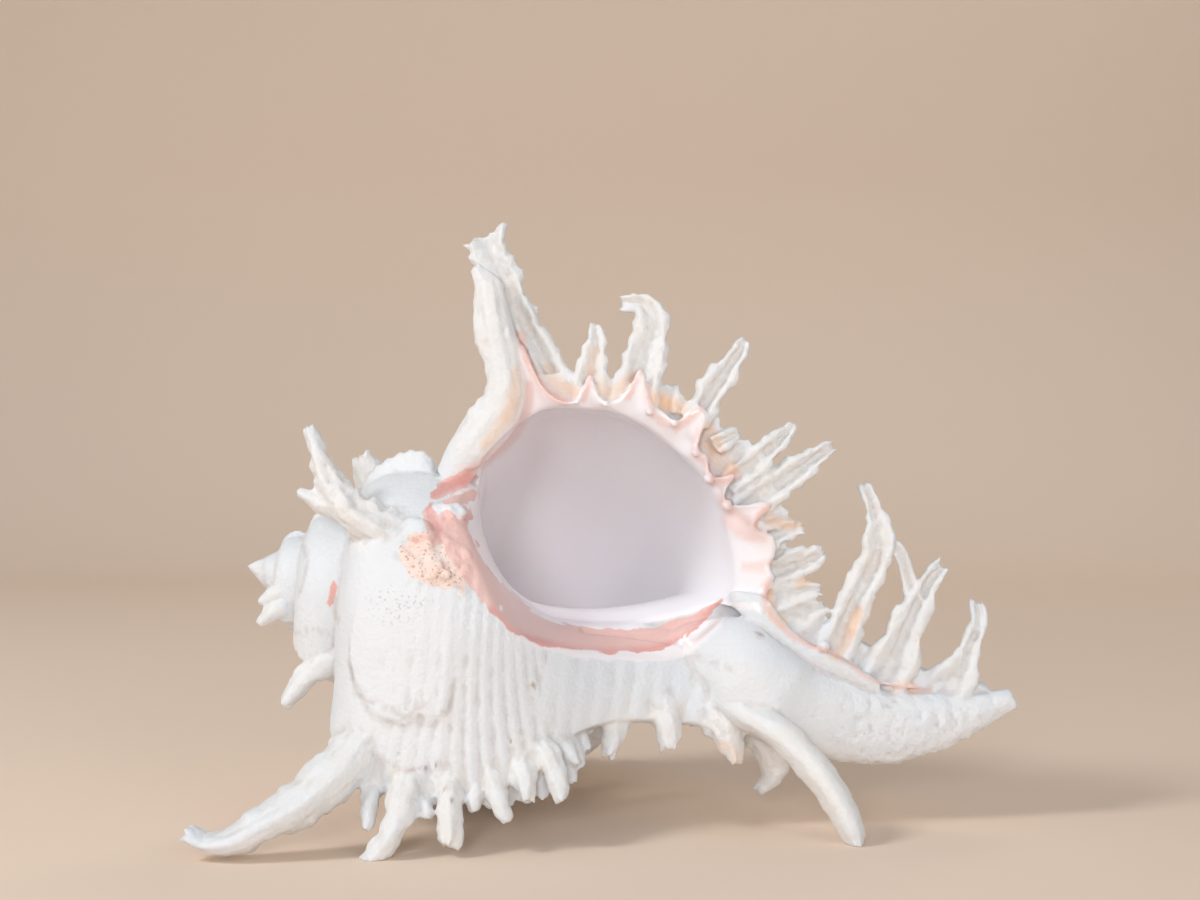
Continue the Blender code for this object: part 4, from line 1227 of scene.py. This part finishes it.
# Painted shadow lines along the ledges, plate edges and creases, drawn in the brown of the specks
SHADOW_LINES = (
    (3.2, 0.34, ((348, 660), (354, 680), (366, 700), (378, 703), (390, 708), (406, 717), (416, 708),
        (430, 706), (446, 713), (451, 702), (455, 680))),
    (2.6, 0.30, ((370, 752), (388, 762), (402, 770), (422, 768), (440, 763))),
    (2.6, 0.30, ((303, 546), (306, 560), (304, 578), (300, 592))),
    (2.4, 0.25, ((264, 552), (263, 570), (266, 590))),
    (3, 0.32, ((338, 622), (334, 608), (336, 596))),
    (2.8, 0.26, ((272, 628), (290, 632), (312, 630), (330, 634))),
    (4, 0.30, ((682, 646), (700, 636), (716, 622), (724, 608))),
    (3, 0.25, ((694, 655), (714, 662), (734, 668))),
    (3, 0.28, ((573, 736), (584, 732), (596, 727))),
)

# Pitted oval in the front view: middle, half width and half height
PITTED_SPOT = (398.0, 604.0, 40.0, 28.0)

# Brown specks in the front view, with their size
SPECKS = (
    (533, 686, 3.4), (507, 726, 2.6), (511, 742, 2.4), (425, 767, 3), (447, 787, 3), (452, 800, 3.2),
    (508, 788, 2.4), (436, 765, 2.2), (444, 790, 2.2), (760, 634, 3), (500, 694, 2), (527, 689, 2.4),
    (346, 592, 2), (752, 679, 2.6),
)


def paint(mesh, inside, frond):
    """Writes the colour masks that the material reads."""
    points = coordinates(mesh) + FRAME_CENTRE
    facing = normals(mesh)
    right, down = in_view(points)
    shown = (points[:, 1] < FRONT_DEPTH) & (((EYE - points) * facing).sum(1) > 0.0)
    angle, far = polar(right, down)
    outer, _ = flare_edge(angle)
    plain = mouth_radius(angle)
    band = np.clip((far - plain) / np.maximum(outer - plain, 1.0), 0.0, 1.0)
    pink = field(right, down, PINK_BANDS, AREA_SOFT)
    pink = np.minimum(pink, 1.0 - field(right, down, BARE_SPOTS, BARE_SOFT))
    deep = strokes(right, down, DEEP_PINK)
    blush = strokes(right, down, LIP_BLUSH)
    callus = field(right, down, CALLUS_AREA, AREA_SOFT)
    warm = strokes(right, down, WARM_STAINS)
    x, y, wide, high = PITTED_SPOT
    pitted = 1.0 - ramp(np.hypot((right - x) / wide, (down - y) / high), 0.5, 1.0)
    spots = np.zeros(len(right))
    for x, y, size in SPECKS:
        gone = np.hypot(right - x, down - y)
        spots = np.maximum(spots, 1.0 - ramp(gone, 0.3 * size, size))
    # The painted shadow lines join the brown specks in one mask
    spots = np.maximum(spots, strokes(right, down, SHADOW_LINES))
    masks = {
        "zone": (inside, frond, band * inside, ramp(right, *PORCELAIN_TURN)),
        "tint": (pink * shown, blush * shown, callus * shown, warm * shown),
        "marks_and_shade": (spots * shown, cavity(mesh), deep * shown, pitted * shown),
    }
    for name, values in masks.items():
        layer = mesh.color_attributes.new(name, "FLOAT_COLOR", "POINT")
        rows = np.clip(np.stack(values, axis=1), 0.0, 1.0)
        layer.data.foreach_set("color", rows.astype(np.float32).ravel())


def cavity(mesh):
    """0.5 on flat ground, more in grooves and less on ridges."""
    points = coordinates(mesh)
    ends = edges_of(mesh)
    wide = smooth(points, ends, 6, 0.7)
    bend = ((wide - points) * normals(mesh)).sum(1)
    return np.clip(0.5 + bend / 0.5, 0.0, 1.0)


def lumps(points, layers):
    return sum(height * noise(points, size, seed) for height, size, seed in layers)


def finish_surface(obj, fronds, tree):
    """Evens the skin, adds the fine crinkles, thins the mesh and paints the masks."""
    mesh = obj.data
    points = coordinates(mesh)
    ends = edges_of(mesh)
    inside = nearest_share(points, tree, *LINED)
    frond, crinkle = frond_share(points, fronds)
    points = smooth(points, ends, 2, 0.5)
    points = smooth(points, ends, 8, 0.6 * inside[:, None])
    move_to(mesh, points)
    way = normals(mesh)
    right, down = in_view(points + FRAME_CENTRE)
    front = (points[:, 1] < 12.0) & (way[:, 1] < 0.2)
    callus = ramp(field(right, down, CALLUS_AREA, AREA_SOFT), 0.4, 0.7) * front
    lift = (1.0 - inside) * frond * crinkle * lumps(points, FROND_LUMPS)
    lift += (1.0 - inside) * (1.0 - 0.6 * frond) * lumps(points, CHALK_LUMPS)
    lift += callus * (lumps(points, CALLUS_LUMPS) + CALLUS_RISE)
    canal = ramp(points[:, 0], *CANAL_ROUGH_X) * (1.0 - inside) * (1.0 - frond)
    canal = canal * ramp(down, *CANAL_TOP) * (0.25 + 0.75 * ramp(down, *CANAL_LOW))
    lift += canal * lumps(points, CANAL_LUMPS)
    points = points + lift[:, None] * way
    points[:, 2] = np.maximum(points[:, 2], 0.0)
    move_to(mesh, points)
    mesh.calc_loop_triangles()
    count = len(mesh.loop_triangles)
    if count > MOST_TRIANGLES:
        modifier = obj.modifiers.new("thin", "DECIMATE")
        modifier.ratio = MOST_TRIANGLES / count
        modifier.use_collapse_triangulate = True
        bake(obj)
    mesh = obj.data
    points = coordinates(mesh)
    points[:, 2] = np.maximum(points[:, 2], 0.0)
    move_to(mesh, points)
    inside = nearest_share(points, tree, *LINED_THIN)
    frond, _ = frond_share(points, fronds)
    paint(mesh, inside, frond)
    mesh.shade_smooth()


# Colours of the shell; a pair is mixed in uneven blotches
CHALK = ((0.73, 0.765, 0.80), (0.80, 0.815, 0.83))
# Painted shade in the grooves, tinted a little like dirt
GROOVE_SHADE_AND_DIRT = (0.60, 0.57, 0.56)
# Painted shade of the fine pits, a darker copy of the chalk
PIT_SHADE = (0.45, 0.47, 0.52)
CREAM = ((0.80, 0.73, 0.63), (0.82, 0.81, 0.79))
TAN = (0.85, 0.57, 0.38)
PORCELAIN = ((0.94, 0.885, 0.91), (0.91, 0.915, 0.965))
FLARE_WHITE = ((0.91, 0.88, 0.89), (0.90, 0.82, 0.82))
BLUSH = (0.84, 0.48, 0.40)
CALLUS = ((0.86, 0.66, 0.58), (0.88, 0.77, 0.70))
# Painted shade of the fine pits in the callus, a darker copy of its beige
CALLUS_PIT_SHADE = (0.50, 0.30, 0.25)
SALMON = ((0.82, 0.52, 0.47), (0.86, 0.62, 0.57))
DEEP_SALMON = (0.76, 0.36, 0.32)
# Brown of the specks, also used for the painted shadow lines
SPECK_AND_SHADOW_BROWN = (0.36, 0.24, 0.17)
CHALK_ROUGHNESS = 0.58
PORCELAIN_ROUGHNESS = 0.22
BUMP_HEIGHT = 0.00025
SUBSURFACE_RADIUS = (1.0, 0.6, 0.45)


def principled(name):
    """A new material and its surface node."""
    material = bpy.data.materials.new(name)
    material.use_nodes = True
    return material, material.node_tree.nodes["Principled BSDF"]


def shell_material():
    material, surface = principled("shell")
    nodes = material.node_tree.nodes
    link = material.node_tree.links.new

    def put(value, socket):
        """Sets a number or a colour on the socket, or links a node's output to it."""
        if isinstance(value, float):
            socket.default_value = value
        elif isinstance(value, tuple):
            socket.default_value = value + (1.0,)
        else:
            link(value, socket)

    def split(name):
        attribute = nodes.new("ShaderNodeAttribute")
        attribute.attribute_name = name
        parts = nodes.new("ShaderNodeSeparateColor")
        link(attribute.outputs["Color"], parts.inputs[0])
        return [parts.outputs[0], parts.outputs[1], parts.outputs[2], attribute.outputs["Alpha"]]

    def mix(fac, first, second):
        node = nodes.new("ShaderNodeMix")
        node.data_type = "RGBA"
        for socket, value in ((0, fac), (6, first), (7, second)):
            put(value, node.inputs[socket])
        return node.outputs[2]

    def combine(operation, first, second, clamp=False):
        node = nodes.new("ShaderNodeMath")
        node.operation = operation
        node.use_clamp = clamp
        put(first, node.inputs[0])
        put(second, node.inputs[1])
        return node.outputs[0]

    def times(first, second, clamp=False):
        return combine("MULTIPLY", first, second, clamp)

    def spread(value, low, high, kind="LINEAR"):
        """The value stretched so that low becomes 0 and high becomes 1."""
        node = nodes.new("ShaderNodeMapRange")
        node.interpolation_type = kind
        put(value, node.inputs["Value"])
        put(low, node.inputs["From Min"])
        put(high, node.inputs["From Max"])
        return node.outputs["Result"]

    def mottle(scale, detail, low, high):
        place = nodes.new("ShaderNodeTexCoord")
        texture = nodes.new("ShaderNodeTexNoise")
        put(scale, texture.inputs["Scale"])
        put(detail, texture.inputs["Detail"])
        put(place.outputs["Object"], texture.inputs["Vector"])
        return spread(texture.outputs["Fac"], low, high)

    def edge(value, low, high):
        """Hard but uneven edge of a painted area."""
        wobble = times(combine("SUBTRACT", small, 0.5), 0.3)
        return spread(combine("ADD", value, wobble), low, high, "SMOOTHSTEP")

    inside, frond, band, depth = split("zone")
    pink, blush, callus, warm = split("tint")
    specks_and_shadows, hollows, deep, pitted = split("marks_and_shade")

    big = mottle(28.0, 4.0, 0.35, 0.65)
    small = mottle(160.0, 6.0, 0.35, 0.65)
    grain = mottle(900.0, 5.0, 0.3, 0.7)
    dots = mottle(1300.0, 1.0, 0.60, 0.68)

    chalk = mix(big, *CHALK)
    # Painted shade, with some dirt tint, darkens the grooves
    groove_shade_and_dirt = times(combine("SUBTRACT", hollows, 0.54), 2.6, True)
    chalk = mix(times(groove_shade_and_dirt, 0.6), chalk, GROOVE_SHADE_AND_DIRT)
    # Painted shade of the fine pits in the pitted oval
    chalk = mix(times(times(dots, pitted), 0.5), chalk, PIT_SHADE)
    chalk = mix(times(frond, 0.40), chalk, mix(small, *CREAM))
    chalk = mix(times(warm, combine("ADD", 0.35, times(small, 0.6))), chalk, TAN)
    porcelain = mix(band, mix(depth, *PORCELAIN), mix(big, *FLARE_WHITE))
    colour = mix(inside, chalk, porcelain)
    colour = mix(times(blush, 0.62), colour, BLUSH)
    # Callus beige with painted shade in its fine pits
    beige = mix(times(dots, 0.75), mix(small, *CALLUS), CALLUS_PIT_SHADE)
    colour = mix(edge(callus, 0.42, 0.58), colour, beige)
    salmon = mix(deep, mix(big, *SALMON), DEEP_SALMON)
    colour = mix(times(edge(pink, 0.44, 0.56), 0.92), colour, salmon)
    # Brown specks and painted shadow lines
    colour = mix(times(specks_and_shadows, 0.8), colour, SPECK_AND_SHADOW_BROWN)
    put(colour, surface.inputs["Base Color"])

    # Chalk is matt and porcelain glossy
    gloss = nodes.new("ShaderNodeMix")
    gloss.data_type = "FLOAT"
    put(inside, gloss.inputs[0])
    put(combine("ADD", CHALK_ROUGHNESS, times(grain, 0.14)), gloss.inputs[2])
    put(PORCELAIN_ROUGHNESS, gloss.inputs[3])
    put(gloss.outputs[0], surface.inputs["Roughness"])

    bump = nodes.new("ShaderNodeBump")
    put(BUMP_HEIGHT, bump.inputs["Distance"])
    put(0.5, bump.inputs["Strength"])
    put(times(grain, combine("SUBTRACT", 1.0, inside)), bump.inputs["Height"])
    put(bump.outputs["Normal"], surface.inputs["Normal"])
    put(0.12, surface.inputs["Subsurface Weight"])
    surface.inputs["Subsurface Radius"].default_value = SUBSURFACE_RADIUS
    put(0.003, surface.inputs["Subsurface Scale"])
    return material


def make_shell():
    fronds = set_out_fronds()
    shell, tree = join_up(fronds)
    remesh(shell)
    finish_surface(shell, fronds, tree)
    shell.data.materials.clear()
    shell.data.materials.append(shell_material())
    move_to(shell.data, coordinates(shell.data) * MM)
    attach(shell, "root")
    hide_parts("shell")


# Floor that curves up into a backdrop, in metres
FLOOR_COLOUR = (0.86, 0.70, 0.57)
FLOOR_FRONT = -1.6
FLOOR_BACK = 0.75
FLOOR_HALF = 2.4
CURVE_RADIUS = 0.35
CURVE_STEPS = 24
BACKDROP_TOP = 2.6

# Lights: place, height aimed at, size, power and colour, in metres and watts
LIGHTS = {
    "key": ((-0.80, -0.35, 0.80), 0.07, 0.3, 5.0, (1.0, 0.99, 0.975)),
    "front": ((-0.20, -1.15, 0.32), 0.08, 0.35, 4.9, (0.98, 0.98, 1.0)),
    "back": ((0.35, 1.1, 0.9), 0.07, 0.7, 4.5, (1.0, 0.98, 0.96)),
    "side": ((0.62, -0.90, 0.30), 0.07, 0.6, 2.3, (1.0, 0.97, 0.96)),
}
SKY_COLOUR = (0.88, 0.94, 1.0, 1.0)
SKY_STRENGTH = 0.34


def make_stage():
    profile = [(FLOOR_FRONT, 0.0), (FLOOR_BACK, 0.0)]
    for n in range(1, CURVE_STEPS + 1):
        t = math.pi / 2 * n / CURVE_STEPS
        profile.append((FLOOR_BACK + CURVE_RADIUS * math.sin(t), CURVE_RADIUS * (1.0 - math.cos(t))))
    profile.append((FLOOR_BACK + CURVE_RADIUS, BACKDROP_TOP))
    verts = [(x, y, z) for y, z in profile for x in (-FLOOR_HALF, FLOOR_HALF)]
    faces = [(2 * n, 2 * n + 1, 2 * n + 3, 2 * n + 2) for n in range(len(profile) - 1)]
    mesh = bpy.data.meshes.new("floor")
    mesh.from_pydata(verts, [], faces)
    mesh.shade_smooth()
    material, surface = principled("floor")
    surface.inputs["Base Color"].default_value = FLOOR_COLOUR + (1.0,)
    surface.inputs["Roughness"].default_value = 0.95
    surface.inputs["Specular IOR Level"].default_value = 0.15
    mesh.materials.append(material)
    floor = bpy.data.objects.new("floor", mesh)
    bpy.context.scene.collection.objects.link(floor)


def make_lights():
    for name, (place, height, size, power, colour) in LIGHTS.items():
        data = bpy.data.lights.new(name, "AREA")
        data.shape = "DISK"
        data.size = size
        data.energy = power
        data.color = colour
        light = bpy.data.objects.new(name, data)
        light.location = place
        way = Vector((0.0, 0.0, height)) - Vector(place)
        light.rotation_euler = way.to_track_quat("-Z", "Y").to_euler()
        bpy.context.scene.collection.objects.link(light)
    world = bpy.data.worlds.new("studio")
    world.use_nodes = True
    background = world.node_tree.nodes["Background"]
    background.inputs["Color"].default_value = SKY_COLOUR
    background.inputs["Strength"].default_value = SKY_STRENGTH
    bpy.context.scene.world = world
    bpy.context.scene.view_settings.view_transform = "Standard"


def make_camera():
    data = bpy.data.cameras.new("camera")
    data.lens = LENS_MM
    data.sensor_width = SENSOR_MM
    camera = bpy.data.objects.new("camera", data)
    camera.location = tuple((EYE - FRAME_CENTRE) * MM)
    camera.rotation_euler = (math.radians(90.0), 0.0, 0.0)
    bpy.context.scene.collection.objects.link(camera)
    bpy.context.scene.camera = camera


make_camera()
make_shell()
make_stage()
make_lights()
